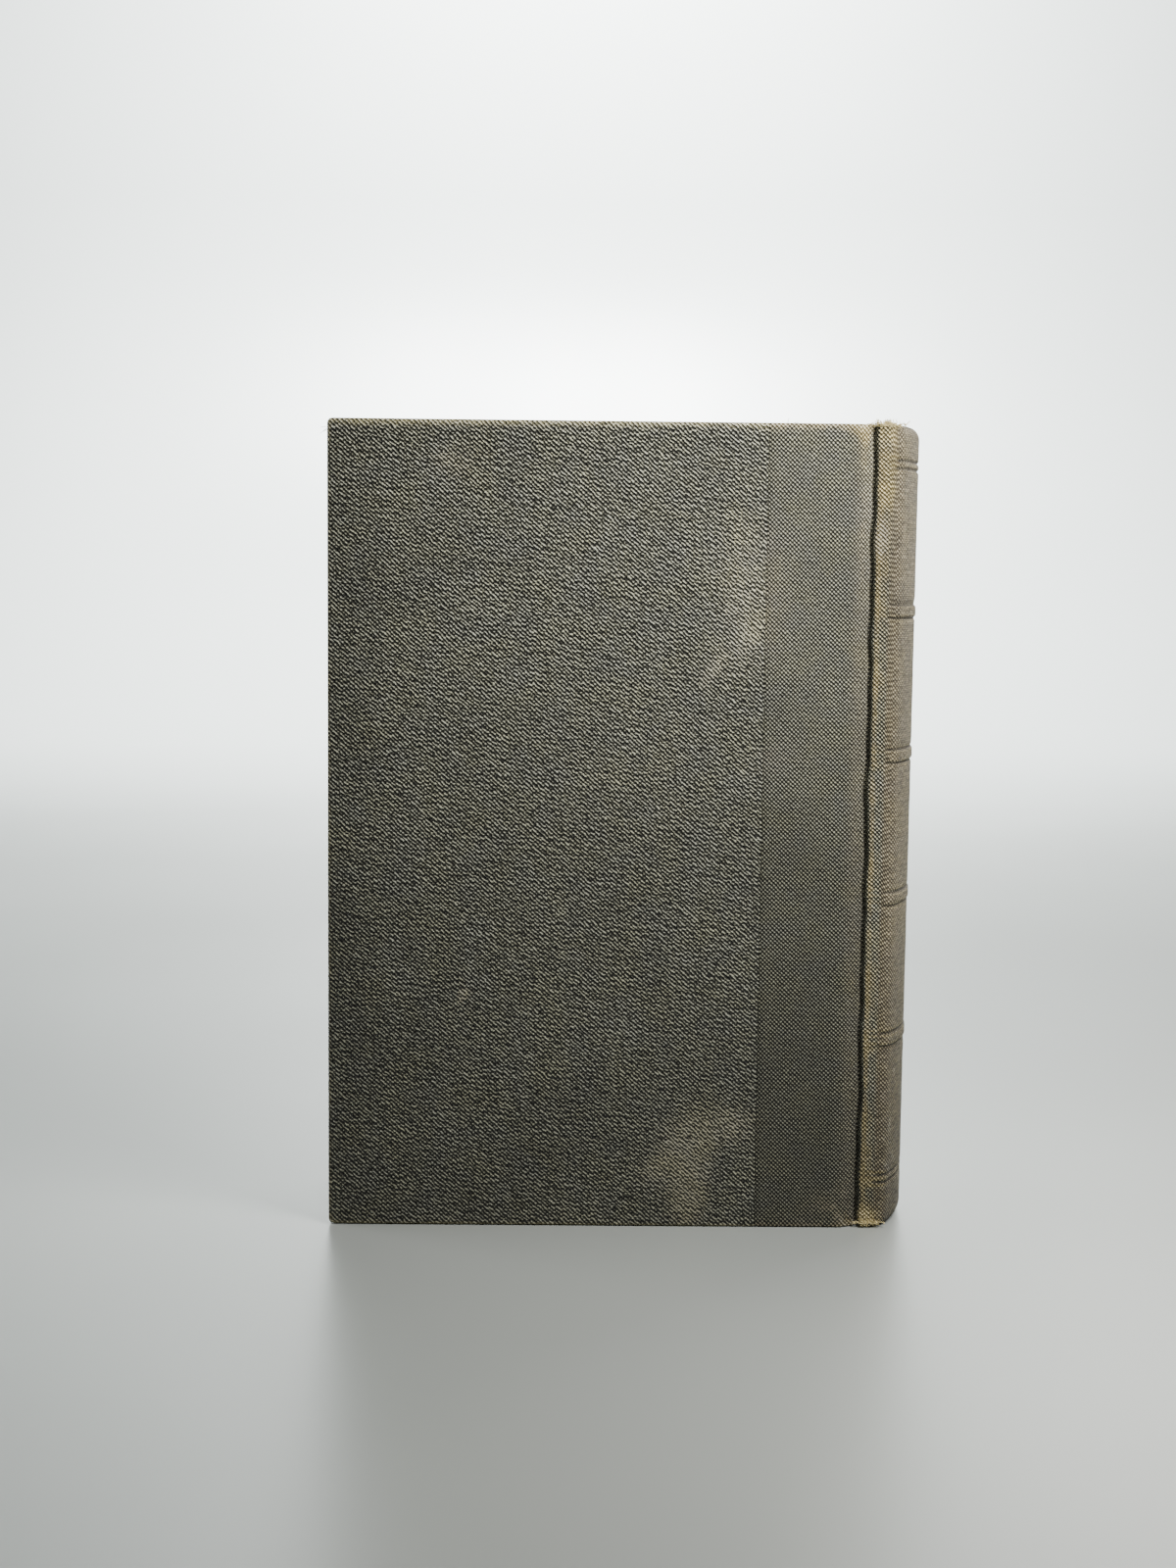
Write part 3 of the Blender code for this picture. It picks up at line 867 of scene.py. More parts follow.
@dataclass(frozen=True)
class Finishes:
    """Every material of the book."""

    side_cloth: Material
    spine_cloth: Material
    endpaper: Material
    pages: Material
    board: Material
    card: Material
    kraft: Material
    mull: Material
    band: Material
    thread_pale: Material
    thread_dark: Material

    @classmethod
    def make(cls) -> "Finishes":
        """Makes the materials, each from its own finish.

        Returns:
            The materials.
        """
        # The crown colours are pale partly from wear and partly as painted highlights on the crowns of the
        # grain
        side_cloth = BookCloth(
            name="bookcloth_crinkle_grain_olive_black",
            grain=Grain.CRINKLE,
            dye=Dye("#1c1d18", "#ebeed8"),
            sunned=Dye("#4a463a", "#a39c88"),
            worn=Dye("#a29d76", "#fffbd8"),
            dust="#e6e3c8",
            drift_mm=0.3,
            crease_mm=(1.2, 0.36),
            creasing=0.50,
            bump_mm=0.26,
            crown_at=1.35,
            roughness=0.62,
        )
        spine_cloth = BookCloth(
            name="buckram_plain_weave_faded",
            grain=Grain.WEAVE,
            dye=Dye("#22221c", "#d4d6c0"),
            sunned=Dye("#453e30", "#cfc5a8"),
            worn=Dye("#5e5434", "#ffefbc"),
            dust="#cfc8b2",
            drift_mm=0.15,
            crease_mm=(1.2, 0.40),
            creasing=0.35,
            bump_mm=0.14,
            crown_at=1.3,
            roughness=0.66,
            mottle=0.34,
        )
        return cls(
            side_cloth=side_cloth.material(),
            spine_cloth=spine_cloth.material(),
            endpaper=BookPaper("endpaper_wove_aged", "#d8c8a4", "#a88c5c", "#9a7440").material(),
            pages=PageEdges().material(),
            board=Fibreboard("grey_strawboard", "#a58f66", "#6f5c3c").material(),
            card=Fibreboard("spine_inlay_manila_card", "#a08a62", "#75603c", 0.35).material(),
            kraft=Fibreboard("kraft_lining_paper", "#9a7245", "#6e4d2b", 0.4).material(),
            mull=OpenMuslin().material(),
            band=WoundThread("headband_cotton_two_colours", "#cdbd92", "#6b5a3c").material(),
            thread_pale=Fibreboard("bare_cotton_fray", "#ddcf9f", "#b39c62", 0.3, 0.01).material(),
            thread_dark=Fibreboard("dyed_cotton_thread", "#4a4335", "#2c271d", 0.3, 0.01).material(),
        )


@dataclass(frozen=True)
class SpineForm:
    """The driving sizes of the rounded back and of its joints, in metres, as the CAD model has them."""

    arc_radius: float = 0.037
    shoulder_out: float = 0.0025
    back_depth: float = 0.00405
    groove_depth: float = 0.0024
    doubled_cloth: float = 0.001
    clearance: float = 0.0003
    foot_x: float = 0.0002
    crest_x: float = 0.0006
    foot_ease: float = 0.0002
    crest_ease: float = 0.0008
    ridge_round: float = 0.002
    floor_start: float = 0.00005

    @property
    def ridge_y(self) -> float:
        """How far the ridges beside the grooves lie from the book's middle plane."""
        return BOOK.half_thickness - self.clearance

    @property
    def back_radius(self) -> float:
        """The radius of the pages' back."""
        return self.arc_radius - self.back_depth

    @property
    def shoulder_y(self) -> float:
        """How far the pages' shoulders lie from the middle plane."""
        return self.ridge_y - self.doubled_cloth - self.clearance

    @property
    def arc_centre(self) -> float:
        """The middle of the rounded back, from the joint line."""
        return self.shoulder_out - math.sqrt(self.back_radius**2 - self.shoulder_y**2)

    @property
    def arc_angle(self) -> float:
        """Half the angle of the spine's arc."""
        whole = math.asin(self.ridge_y / math.hypot(self.arc_radius, self.ridge_round))
        return whole - math.atan2(self.ridge_round, self.arc_radius)

    def on_arc(self, radius: float, angle: np.ndarray) -> np.ndarray:
        """Points of the rounded back, from the joint line and the middle plane."""
        return np.stack([self.arc_centre + radius * np.cos(angle), radius * np.sin(angle)], axis=-1)

    def half_line(self) -> np.ndarray:
        """The cloth's outer line from the front joint's floor to the middle of the spine.

        Returns:
            The points of the line, from the joint line and the middle plane.
        """
        floor_y = BOOK.half_thickness - self.groove_depth
        foot = (self.foot_x, floor_y)
        crest = (self.crest_x, self.ridge_y)
        start = self.on_arc(self.arc_radius, np.array(self.arc_angle))
        ridge_end = (start[0] - math.tan(self.arc_angle) * (self.ridge_y - start[1]), self.ridge_y)
        corners = [(self.floor_start, floor_y), foot, crest, ridge_end, start]
        line = rounded(corners, [self.foot_ease, self.crest_ease, self.ridge_round], 8)
        arc = self.on_arc(self.arc_radius, np.linspace(self.arc_angle, 0, 40)[1:])
        return np.concatenate([line, arc])


@dataclass(frozen=True)
class Relief:
    """The pairs of blind lines on the spine, with a low band between the two lines of a wide pair."""

    bands: int = 4
    band_width: float = 0.0033
    band_rise: float = 0.00025
    line_width: float = 0.0009
    line_depth: float = 0.0004
    fine_width: float = 0.0019
    head_inset: float = 0.0096
    tail_inset: float = 0.0123

    def pairs(self) -> list[tuple[float, float, float]]:
        """The middle height, distance between lines and rise of each pair, from the tail up.

        Returns:
            The pairs, in metres.
        """
        tail, head = self.tail_inset, BOOK.height - self.head_inset
        found = [(tail, self.fine_width, 0.0)]
        for band in range(1, self.bands + 1):
            found.append((tail + (head - tail) * band / (self.bands + 1), self.band_width, self.band_rise))
        return [*found, (head, self.fine_width, 0.0)]

    def lines(self) -> list[float]:
        """The height of every single line, from the tail up."""
        return [middle + sign * width / 2 for middle, width, _ in self.pairs() for sign in (-1, 1)]

    def rise(self, z: np.ndarray) -> np.ndarray:
        """How far the spine stands out at each height.

        Args:
            z: Heights above the tail.

        Returns:
            The rise at each height, below zero in a line.
        """
        total = np.zeros_like(z)
        for middle, width, rise in self.pairs():
            plateau = rising(-self.line_width / 2, 0, width / 2 - np.abs(z - middle))
            total += rise * plateau
            for line in (middle - width / 2, middle + width / 2):
                total -= (self.line_depth + rise / 2) * bump_at(z, line, self.line_width / 2.4)
        return total

    def on_lines(self, z: np.ndarray) -> np.ndarray:
        """1 at the bottom of each blind line, fading to 0 beside it."""
        return sum(bump_at(z, line, self.line_width / 2.6) for line in self.lines())

    def beside_lines(self, z: np.ndarray) -> np.ndarray:
        """1 on the lips of the blind lines, where handling rubs them pale."""
        lips = [line + lip * self.line_width for line in self.lines() for lip in (-0.8, 0.8)]
        return np.max([bump_at(z, lip, self.line_width / 2) for lip in lips], axis=0)

    def heights(self, low: float, high: float, fine: float, coarse: float) -> np.ndarray:
        """Row heights between two levels, close together where there are lines.

        Args:
            low: The lowest height.
            high: The highest height.
            fine: The step beside the lines.
            coarse: The step elsewhere.

        Returns:
            The heights, which are stretched a little to end at the highest one where they nearly do.
        """
        levels = [low]
        reach = self.band_width / 2 + 1.5 * self.line_width
        while levels[-1] < high:
            near = any(abs(levels[-1] - middle) < reach for middle, _, _ in self.pairs())
            levels.append(levels[-1] + (fine if near else coarse))
        scale = (high - low) / (levels[-1] - low)
        if abs(scale - 1) < 0.01:
            return low + (np.array(levels) - low) * scale
        return np.array([*levels[:-1], high])


@dataclass(frozen=True)
class Fray:
    """Loose cotton at an end of a ridge: where it starts, how much it stands up and how far out at most."""

    end: str
    z: float
    up: float
    proud: float


@dataclass
class Spine:
    """The spine cloth with its caps, the bands at head and tail, and what frays at the joint's ends."""

    form: SpineForm = field(default_factory=SpineForm)
    relief: Relief = field(default_factory=Relief)
    cloth_thickness: float = 0.00035
    fold_depth: float = 0.00245
    cap_round: float = 0.003
    cap_lip: float = 0.0005
    turn_in: float = 0.015
    relief_start: float = 0.003
    relief_run: float = 0.003
    ridge_step: float = 0.0003
    arc_step: float = 0.001
    line_step: float = 0.0002
    plain_step: float = 0.0016
    bead_radius: float = 0.0011
    bead_clearance: float = 0.0003
    bead_inset: float = 0.0022
    wrap_pitch: float = 0.0008
    wraps_in_a_stripe: int = 4
    bead_columns: int = 17
    bead_rows_a_wrap: int = 6
    bead_merge: float = 0.000005
    cap_steps: int = 8
    lip_steps: int = 4
    fray_fibres: int = 150
    fray_radius: float = 0.00013
    fray_root: tuple[float, float] = (0.0028, 0.0016)
    fray_depth: tuple[float, float] = (0.0003, 0.0010)
    fray_rooted: tuple[float, float] = (0.0001, 0.0006)
    fray_length: tuple[float, float] = (0.0005, 0.0019)
    cap_gap: float = 0.0002
    fine_run: float = 0.0145
    uneven: float = 0.0001
    uneven_from: tuple[float, float] = (0.001, 0.003)
    wander_to: tuple[float, float] = (0.001, 0.004)
    kept_rub: tuple[tuple[float, ...], ...] = ((0, 60, 95, 130, 160), (1.0, 0.80, 0.62, 0.80, 1.0))
    # Painted light and shade up the spine, by height in millimetres: darker towards the tail, lightest near
    # the middle
    painted_spine_shade_by_height: tuple[tuple[float, ...], ...] = (
        (0, 17, 36, 70, 96, 165, 198),
        (0.66, 0.76, 0.88, 1.16, 1.18, 1.05, 1.08),
    )
    ridge_crest_mm: float = 3.6
    ridge_foot_mm: tuple[float, float] = (2.0, 2.5)
    ridge_end_mm: tuple[float, float] = (4.6, 6.0)
    ridge_end_at_head_mm: tuple[float, float] = (6.2, 8.2)

    def section(self) -> tuple[np.ndarray, np.ndarray, np.ndarray, np.ndarray]:
        """The cloth's line from the rear joint to the front one.

        Returns:
            Its points from the joint line and the middle plane, its inward normals, and the distance of each
            point from the nearer joint and from the rear one.
        """
        half = self.form.half_line()
        length = along(half)[-1]
        stations = np.concatenate([
            np.arange(0, self.fine_run, self.ridge_step),
            np.linspace(self.fine_run, length, round((length - self.fine_run) / self.arc_step)),
        ])
        front = resampled(half, stations)
        rear = front * (1, -1)
        points = np.concatenate([rear, front[-2::-1]])
        near = np.concatenate([stations, stations[-2::-1]])
        whole = np.concatenate([stations, 2 * length - stations[-2::-1]])
        tangent = np.gradient(points, axis=0)
        tangent /= np.linalg.norm(tangent, axis=1, keepdims=True)
        inward = np.stack([-tangent[:, 1], tangent[:, 0]], axis=1)
        return points, inward, near, whole

    def fold_rows(self) -> np.ndarray:
        """The rows of a cap, from the outer face over the end to the edge of the turned-in cloth.

        Returns:
            For each row its drop and depth beside the joint, its drop and depth on the spine, and the
            distance along the cloth from the end.
        """
        edge = self.form.doubled_cloth / 2
        rows = []
        for angle in np.linspace(0, math.pi / 2, self.cap_steps + 1):
            out, drop = 1 - math.cos(angle), 1 - math.sin(angle)
            rows.append((edge * drop, edge * out, self.cap_round * drop, self.fold_depth * out))
        for angle in np.linspace(math.pi / 2, math.pi, self.lip_steps + 1)[1:]:
            out, drop = -math.cos(angle), 1 - math.sin(angle)
            inward = self.fold_depth + self.cap_lip * out
            rows.append((edge * drop, edge * (1 + out), self.cap_lip * drop, inward))
        inner = self.fold_depth + self.cap_lip
        for drop in (self.cap_round + self.cap_lip, self.turn_in):
            rows.append((drop, 2 * edge, drop, inner))
        table = np.array(rows)
        table[-1, 3] = table[-2, 3] = self.fold_depth
        lengths = along(table[:, 2:4])
        return np.column_stack([table, lengths - lengths[self.cap_steps]])

    def cloth_rows(self) -> np.ndarray:
        """The rows of the spine cloth, from the edge of its turn-in at the tail to the one at the head.

        Returns:
            For each row its height and depth beside the joint, its height and depth on the spine, and its
            height along the cloth.
        """
        folds = self.fold_rows()
        low, high = self.cap_round + self.cap_gap, BOOK.height - self.cap_round - self.cap_gap
        levels = self.relief.heights(low, high, self.line_step, self.plain_step)
        plain = np.column_stack([levels, 0 * levels, levels, -self.relief.rise(levels), levels])
        tail = folds[::-1] * (1, 1, 1, 1, -1)
        head = folds * (-1, 1, -1, 1, 1) + (BOOK.height, 0, BOOK.height, 0, BOOK.height)
        return np.concatenate([tail, plain, head])

    def build_cloth(self) -> Piece:
        """Builds the spine cloth: one pressed sheet over both ridges and the arc, folded in at head and tail.

        Returns:
            The cloth, with its flat coordinates and its wear.
        """
        points, inward, near, whole = self.section()
        rows = self.cloth_rows()
        edge_z, edge_d, spine_z, spine_d, flat_z = rows.T[:, :, None]
        share = rising(self.relief_start, self.relief_start + self.relief_run, points[:, 0])
        side = np.sign(points[:, 1])
        z = edge_z + (spine_z - edge_z) * share
        depth = edge_d + (spine_d - edge_d) * share
        uneven = self.uneven * ripple(5, 5.0, near * MM + 60 * side, z * MM) * (1 - 0.7 * share)
        depth = depth + uneven * rising(*self.uneven_from, near) * (edge_d == 0)
        spot = points + inward * depth[..., None]
        wander = JOINT.wander(z, side) * falling(*self.wander_to, near)
        placed = np.stack([BOOK.joint_x + spot[..., 0] + wander, spot[..., 1], z], axis=-1)
        cloth = grid_sheet("spine_cloth_pressed", placed)
        facing_out(cloth, Vector((1, 0, 0)))
        wear = self.wear(near * MM, np.broadcast_to(flat_z * MM, z.shape), share, side)
        first = len(self.fold_rows())
        write_sheet(cloth, whole * MM, climbed(placed, first, rows[first, 4]), wear.marks())
        thicken(cloth, self.cloth_thickness)
        smooth(cloth)
        return cloth

    def wear(self, near: np.ndarray, z: np.ndarray, share: np.ndarray, side: np.ndarray) -> Wear:
        """Where the spine cloth has faded, rubbed and gathered dirt, and where light and shade are painted on
        it.

        Args:
            near: Distance from the nearer joint's floor, in millimetres.
            z: Height up the cloth, in millimetres.
            share: 0 beside the joints, 1 on the arc.
            side: The sign of each column's side of the book.

        Returns:
            Its wear, which is hardest on the ridges beside the joints.
        """
        height, crest = BOOK.height * MM, self.ridge_crest_mm
        strip = z + 400 * side
        patchy = 0.80 + 0.25 * ripple(11, 9.0, strip) + 0.15 * ripple(12, 1.6, strip, near)
        to_head = rising(height - 45, height, z)
        ends = zip(self.ridge_end_mm, self.ridge_end_at_head_mm)
        ends = (low + (high - low) * to_head for low, high in ends)
        ridge = rising(*self.ridge_foot_mm, near) * falling(*ends, near) * patchy
        ridge = ridge * np.interp(z, *self.kept_rub)
        ridge_rub = 0.95 * ridge * (1 - 0.45 * rising(3.1, 3.9, near) * (1 - to_head))
        head_rub = 0.8 * rising(height - 3, height - 0.5, z) * bump_at(near, 3.8, 4.2)
        tail_rub = 0.9 * falling(1.5, 9.0, z) * bump_at(near, 4.2, 4.6)
        lips = self.relief.beside_lines(z / MM)
        lip_rub = lips * (0.42 * (0.35 + 0.65 * share) + 0.5 * bump_at(near, 5, 4) * falling(20, 60, z))
        fold_rub = 0.3 * bump_at(z, height, 1.6) + 0.2 * bump_at(z, 0, 1.6)
        # Darker at the bottom of each blind line, most on the arc
        line_darkening = 0.72 * self.relief.on_lines(z / MM) * share
        # Painted shade in the groove beside the ridge, fading out towards the tail
        painted_groove_shade = 0.25 * falling(1.2, 2.3, near) * rising(2, 18, z)
        back_dust = 0.20 * rising(12, 24, near) * (0.6 + 0.4 * ripple(21, 14.0, near, z))
        flecks = np.maximum(ripple(23, 2.6, near * 1.2, z) * ripple(24, 5.5, near, z) - 0.22, 0)
        tail_dust = 1.6 * flecks * falling(30, 60, z) * rising(7, 10, near)
        pale_patch = bump_at(z, height - 27.5, 4.0) * bump_at(near, crest, 1.6) * (side < 0)
        # Painted light and shade: darker towards the tail and lightest near the middle, with painted light on
        # the ridges at the tail and at the head
        shade = np.interp(z, *self.painted_spine_shade_by_height)
        shade = shade * (1 + 2.4 * falling(1, 6, z) * bump_at(near, crest, 3.4))
        shade = shade * (1 + 0.3 * rising(height - 8, height - 1, z) * bump_at(near, crest, 2.6))
        return Wear(
            shade=shade,
            rub=ridge_rub + head_rub + tail_rub + lip_rub + fold_rub,
            soil_and_shade=line_darkening + painted_groove_shade,
            dust=back_dust + tail_dust + pale_patch,
            sun=rising(4.6, 6.2, near),
            pucker=0.5 * rising(2.0, 2.6, near) * falling(5.0, 6.6, near),
        )

    def build_bead(self, name: str, middle_z: float) -> Piece:
        """Builds a band of wound thread along the end of the back, closed at both ends.

        Args:
            name: The name of the piece.
            middle_z: The height of its core.

        Returns:
            The band.
        """
        core_radius = self.form.back_radius - self.bead_radius
        half_angle = self.form.arc_angle - self.bead_inset / core_radius
        length = 2 * half_angle * core_radius
        wraps = round(length / self.wrap_pitch)
        turns = np.linspace(0, math.tau, self.bead_columns)
        stations = np.linspace(0, 1, wraps * self.bead_rows_a_wrap + 1)
        bulge = 0.93 + 0.07 * np.abs(np.sin(math.pi * wraps * stations))
        taper = np.sqrt(np.clip(1 - (np.abs(2 * stations - 1) ** 40), 0.05, 1))
        radius = self.bead_radius * (bulge * taper)[:, None]
        angle = half_angle * (2 * stations - 1)[:, None]
        spot = self.form.on_arc(core_radius + radius * np.cos(turns), angle)
        z = middle_z + radius * np.sin(turns)
        bead = grid_sheet(name, np.stack([BOOK.joint_x + spot[..., 0], spot[..., 1], z], axis=-1))
        wrap = np.floor(stations * wraps / self.wraps_in_a_stripe) % 2
        write_sheet(bead, (stations * length * MM)[:, None], turns, {"wrap": wrap[:, None]})
        close_mesh(bead, merge=self.bead_merge)
        smooth(bead, math.radians(70))
        return bead

    def build_fray(self, side: Side, fray: Fray, seed: int) -> Piece:
        """Builds the loose cotton at an end of a ridge, where the cloth has worn through.

        Args:
            side: The ridge's side of the book.
            fray: The end and how its fibres stand, which leaves room for the open board.
            seed: Picks the fibres.

        Returns:
            The fibres, as one piece.
        """
        draw = random.Random(seed)
        out = -side.value
        fibres = []
        for _ in range(self.fray_fibres):
            x = draw.gauss(*self.fray_root)
            depth = draw.uniform(*self.fray_depth)
            rooted = fray.up * draw.uniform(*self.fray_rooted)
            start = Vector(BOOK.place(side, x, depth, fray.z - rooted).tolist())
            heading = (draw.gauss(0.2, 0.6), out * draw.uniform(0.0, 0.7), fray.up * draw.uniform(0.1, 0.8))
            fibre = curling(draw, start, Vector(heading), draw.uniform(*self.fray_length))
            for point in fibre:
                past = out * point.y - BOOK.half_thickness
                if past > 0:
                    point.y = out * (BOOK.half_thickness + fray.proud * math.tanh(past / fray.proud))
            fibres.append(fibre)
        return fibre_piece(f"{side.label}_{fray.end}_fray", fibres, self.fray_radius)

    def build(self, cloth: Material, thread: Material, cotton: Material) -> None:
        """Builds and dresses every piece of the spine.

        Args:
            cloth: The woven bookcloth.
            thread: The bands' wound thread.
            cotton: Loose undyed cotton.
        """
        spine_cloth = self.build_cloth()
        settle(spine_cloth, "book_block", cloth, "spine_cloth")
        width = 2 * along(self.form.half_line())[-1]
        length = BOOK.height + 2 * self.fold_rows()[-1, -1]
        above = self.bead_clearance + self.bead_radius
        for node, z in (("headband", BOOK.page_high.z + above), ("tailband", BOOK.page_low.z - above)):
            settle(self.build_bead(f"{node}_wound", z), "book_block", thread, node)
        frays = (Fray("head", BOOK.height, 1.0, 0.0016), Fray("tail", 0.0012, 0.2, 0.00045))
        for side, seed in ((Side.REAR, 31), (Side.FRONT, 47)):
            for turn, fray in enumerate(frays):
                settle(self.build_fray(side, fray, seed + turn), "book_block", cotton)


def curling(draw: random.Random, start: Vector, heading: Vector, length: float) -> list[Vector]:
    """The points of a loose fibre that starts along a heading and curls as it goes.

    Args:
        draw: The source of its curl.
        start: Where it starts.
        heading: The direction in which it starts.
        length: Its length.

    Returns:
        Its points.
    """
    points = [start]
    direction = heading.normalized()
    curl = Vector((draw.gauss(0, 0.3), draw.gauss(0, 0.3), draw.gauss(0, 0.3)))
    for _ in range(6):
        points.append(points[-1] + direction * (length / 6))
        direction = (direction + curl).normalized()
    return points


def fibre_piece(name: str, fibres: Sequence[Sequence[Vector]], radius: float) -> Piece:
    """Makes thin round fibres along lines of points, as one mesh.

    Args:
        name: The name of the piece.
        fibres: The points of each fibre.
        radius: The radius of a fibre.

    Returns:
        The piece.
    """
    bpy.ops.object.select_all(action="DESELECT")
    bpy.ops.curve.primitive_nurbs_path_add()
    piece = bpy.context.object
    piece.name = name
    curve = piece.data
    curve.splines.clear()
    for points in fibres:
        spline = curve.splines.new("POLY")
        spline.points.add(len(points) - 1)
        for index, (point, place) in enumerate(zip(spline.points, points)):
            point.co = (*place, 1)
            point.radius = 1 - 0.6 * index / len(points)
    curve.bevel_depth = radius
    curve.bevel_resolution = 1
    curve.use_fill_caps = True
    bpy.ops.object.convert(target="MESH")
    piece = bpy.context.object
    piece.data.name = name
    smooth(piece, math.radians(80))
    return piece


def settle(piece: Piece, body: str, material: Material, node: str = "") -> None:
    """Dresses a finished piece and hands it to the frame.

    Args:
        piece: The finished piece.
        body: The CAD body that it moves with.
        material: Its material.
        node: The CAD node that it stands for, if there is one.
    """
    piece.data.materials.clear()
    piece.data.materials.append(material)
    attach(piece, body)
    hand_over(piece, node)


def hand_over(piece: Piece, node: str) -> None:
    """Hides the CAD node that a piece stands for, if there is one, and reports the piece.

    Args:
        piece: The finished piece.
        node: The CAD node that it stands for, or nothing.
    """
    if node:
        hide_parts(node)
    log.info("%s: %d faces", piece.name, len(piece.data.polygons))


@dataclass(frozen=True)
class Smear:
    """A pale or rubbed mark on a cover, in millimetres from the joint line and the tail."""

    x: float
    z: float
    long: float
    short: float
    tilt: float
    strength: float

    def at(self, x: np.ndarray, z: np.ndarray) -> np.ndarray:
        """Its strength at places on the cover.

        Args:
            x: Distances from the joint line, in millimetres.
            z: Heights above the tail, in millimetres.

        Returns:
            The strength at each place.
        """
        turn = math.radians(self.tilt)
        u = (x - self.x) * math.cos(turn) + (z - self.z) * math.sin(turn)
        v = (z - self.z) * math.cos(turn) - (x - self.x) * math.sin(turn)
        return self.strength * np.exp(-(u / self.long) ** 2 - (v / self.short) ** 2)


REAR_SMEARS = (
    Smear(-29.5, 150.0, 14.0, 8.5, 75.0, 0.42),
    Smear(-31.0, 168.0, 11.0, 9.0, 80.0, 0.36),
    Smear(-38.0, 138.8, 4.0, 1.5, 50.0, 0.75),
    Smear(-29.6, 147.0, 3.2, 1.8, 60.0, 0.60),
    Smear(-44.4, 18.4, 10.0, 6.5, 75.0, 0.72),
    Smear(-41.5, 7.5, 9.0, 3.8, 80.0, 0.85),
    Smear(-33.0, 25.5, 8.0, 5.0, 15.0, 0.60),
    Smear(-52.0, 14.0, 4.0, 3.0, 30.0, 0.35),
    Smear(-100.5, 188.0, 7.0, 5.0, 10.0, 0.40),
    Smear(-103.6, 188.9, 1.6, 1.2, 0.0, 0.50),
    Smear(-98.5, 57.9, 1.5, 1.1, 60.0, 1.60),
    Smear(-62.0, 112.0, 24.0, 16.0, 30.0, 0.14),
    Smear(-24.0, 117.0, 7.0, 4.0, 0.0, 0.30),
    Smear(-9.0, 6.0, 8.0, 4.0, 30.0, 0.34),
)
FRONT_SMEARS = (
    Smear(-48.0, 150.0, 17.0, 10.0, 30.0, 0.20),
    Smear(-92.0, 60.0, 20.0, 12.0, 120.0, 0.18),
    Smear(-20.0, 38.0, 9.0, 5.0, 60.0, 0.22),
)
# Painted shade up a cover, by height in millimetres: darker towards the tail, lighter towards the head
PAINTED_COVER_SHADE_BY_HEIGHT = (
    (0, 20, 48, 72, 96, 120, 145, 169, 198),
    (0.60, 0.62, 0.68, 0.76, 0.85, 1.0, 1.11, 1.13, 1.06),
)


def painted_cover_shade(x: np.ndarray, z: np.ndarray) -> np.ndarray:
    """The light and shade painted on a cover's cloth: painted shade darker towards the tail, towards the fore
    edge and in a broad patch in the middle, and a painted highlight along the head edge.

    Args:
        x: Distances from the joint line, in millimetres.
        z: Heights above the tail, in millimetres.

    Returns:
        A factor on the cloth's colour at each place.
    """
    painted_shade_by_height = np.interp(z, *PAINTED_COVER_SHADE_BY_HEIGHT)
    painted_fore_edge_shade = 0.18 * falling(-130, -108, x) * rising(20, 80, z) * falling(150, 190, z)
    painted_middle_shade = 0.10 * bump_at(x, -40, 25) * bump_at(z, 92, 18)
    painted_head_highlight = 1 + 0.4 * bump_at(z, BOOK.height * MM, 1.3)
    return painted_shade_by_height * painted_head_highlight * (1 - painted_fore_edge_shade - painted_middle_shade)


@dataclass(frozen=True)
class Joint:
    """The cloth strip that laps the board and goes down into the groove, in metres."""

    board_stop: float = 0.0032
    board_arris: float = 0.0007
    crease_wall: float = 0.0005
    crease_lip: float = 0.0014
    crease_floor: float = 0.00025
    lap_ease: float = 0.0009
    lip_ease: float = 0.0004
    floor_ease: float = 0.00015
    tuck_x: float = 0.0006
    tuck_depth: float = 0.00006
    lap_depth: float = 0.00003
    underlap: float = 0.003
    underlap_depth: float = 0.00032
    underlap_ease: float = 0.00005
    underlap_rise: float = 0.00015
    wander_size: float = 0.00028

    def wander(self, z: np.ndarray, side: np.ndarray) -> np.ndarray:
        """How far the crease strays sideways at a height, the same for the pieces on both sides of it."""
        return self.wander_size * ripple(3, 12.0, z * MM + 900 * np.asarray(side, float))

    def line(self, groove_depth: float, seam: float) -> np.ndarray:
        """The strip's outer line as x and depth, from under the side cloth down to the groove's floor.

        Args:
            groove_depth: The depth of the groove's floor.
            seam: The seam's distance from the joint line, below zero.

        Returns:
            The points of the line.
        """
        corners = [
            (seam - self.underlap, self.underlap_depth),
            (seam - self.underlap_ease, self.underlap_depth),
            (seam + self.underlap_rise, self.lap_depth),
            (-self.board_stop - self.board_arris, self.lap_depth),
            (-self.crease_wall, self.crease_lip),
            (-self.crease_floor, groove_depth + self.tuck_depth),
            (self.tuck_x, groove_depth + self.tuck_depth),
        ]
        cuts = [self.underlap_ease, self.underlap_ease, self.lap_ease, self.lip_ease, self.floor_ease]
        return rounded(corners, cuts, 6)


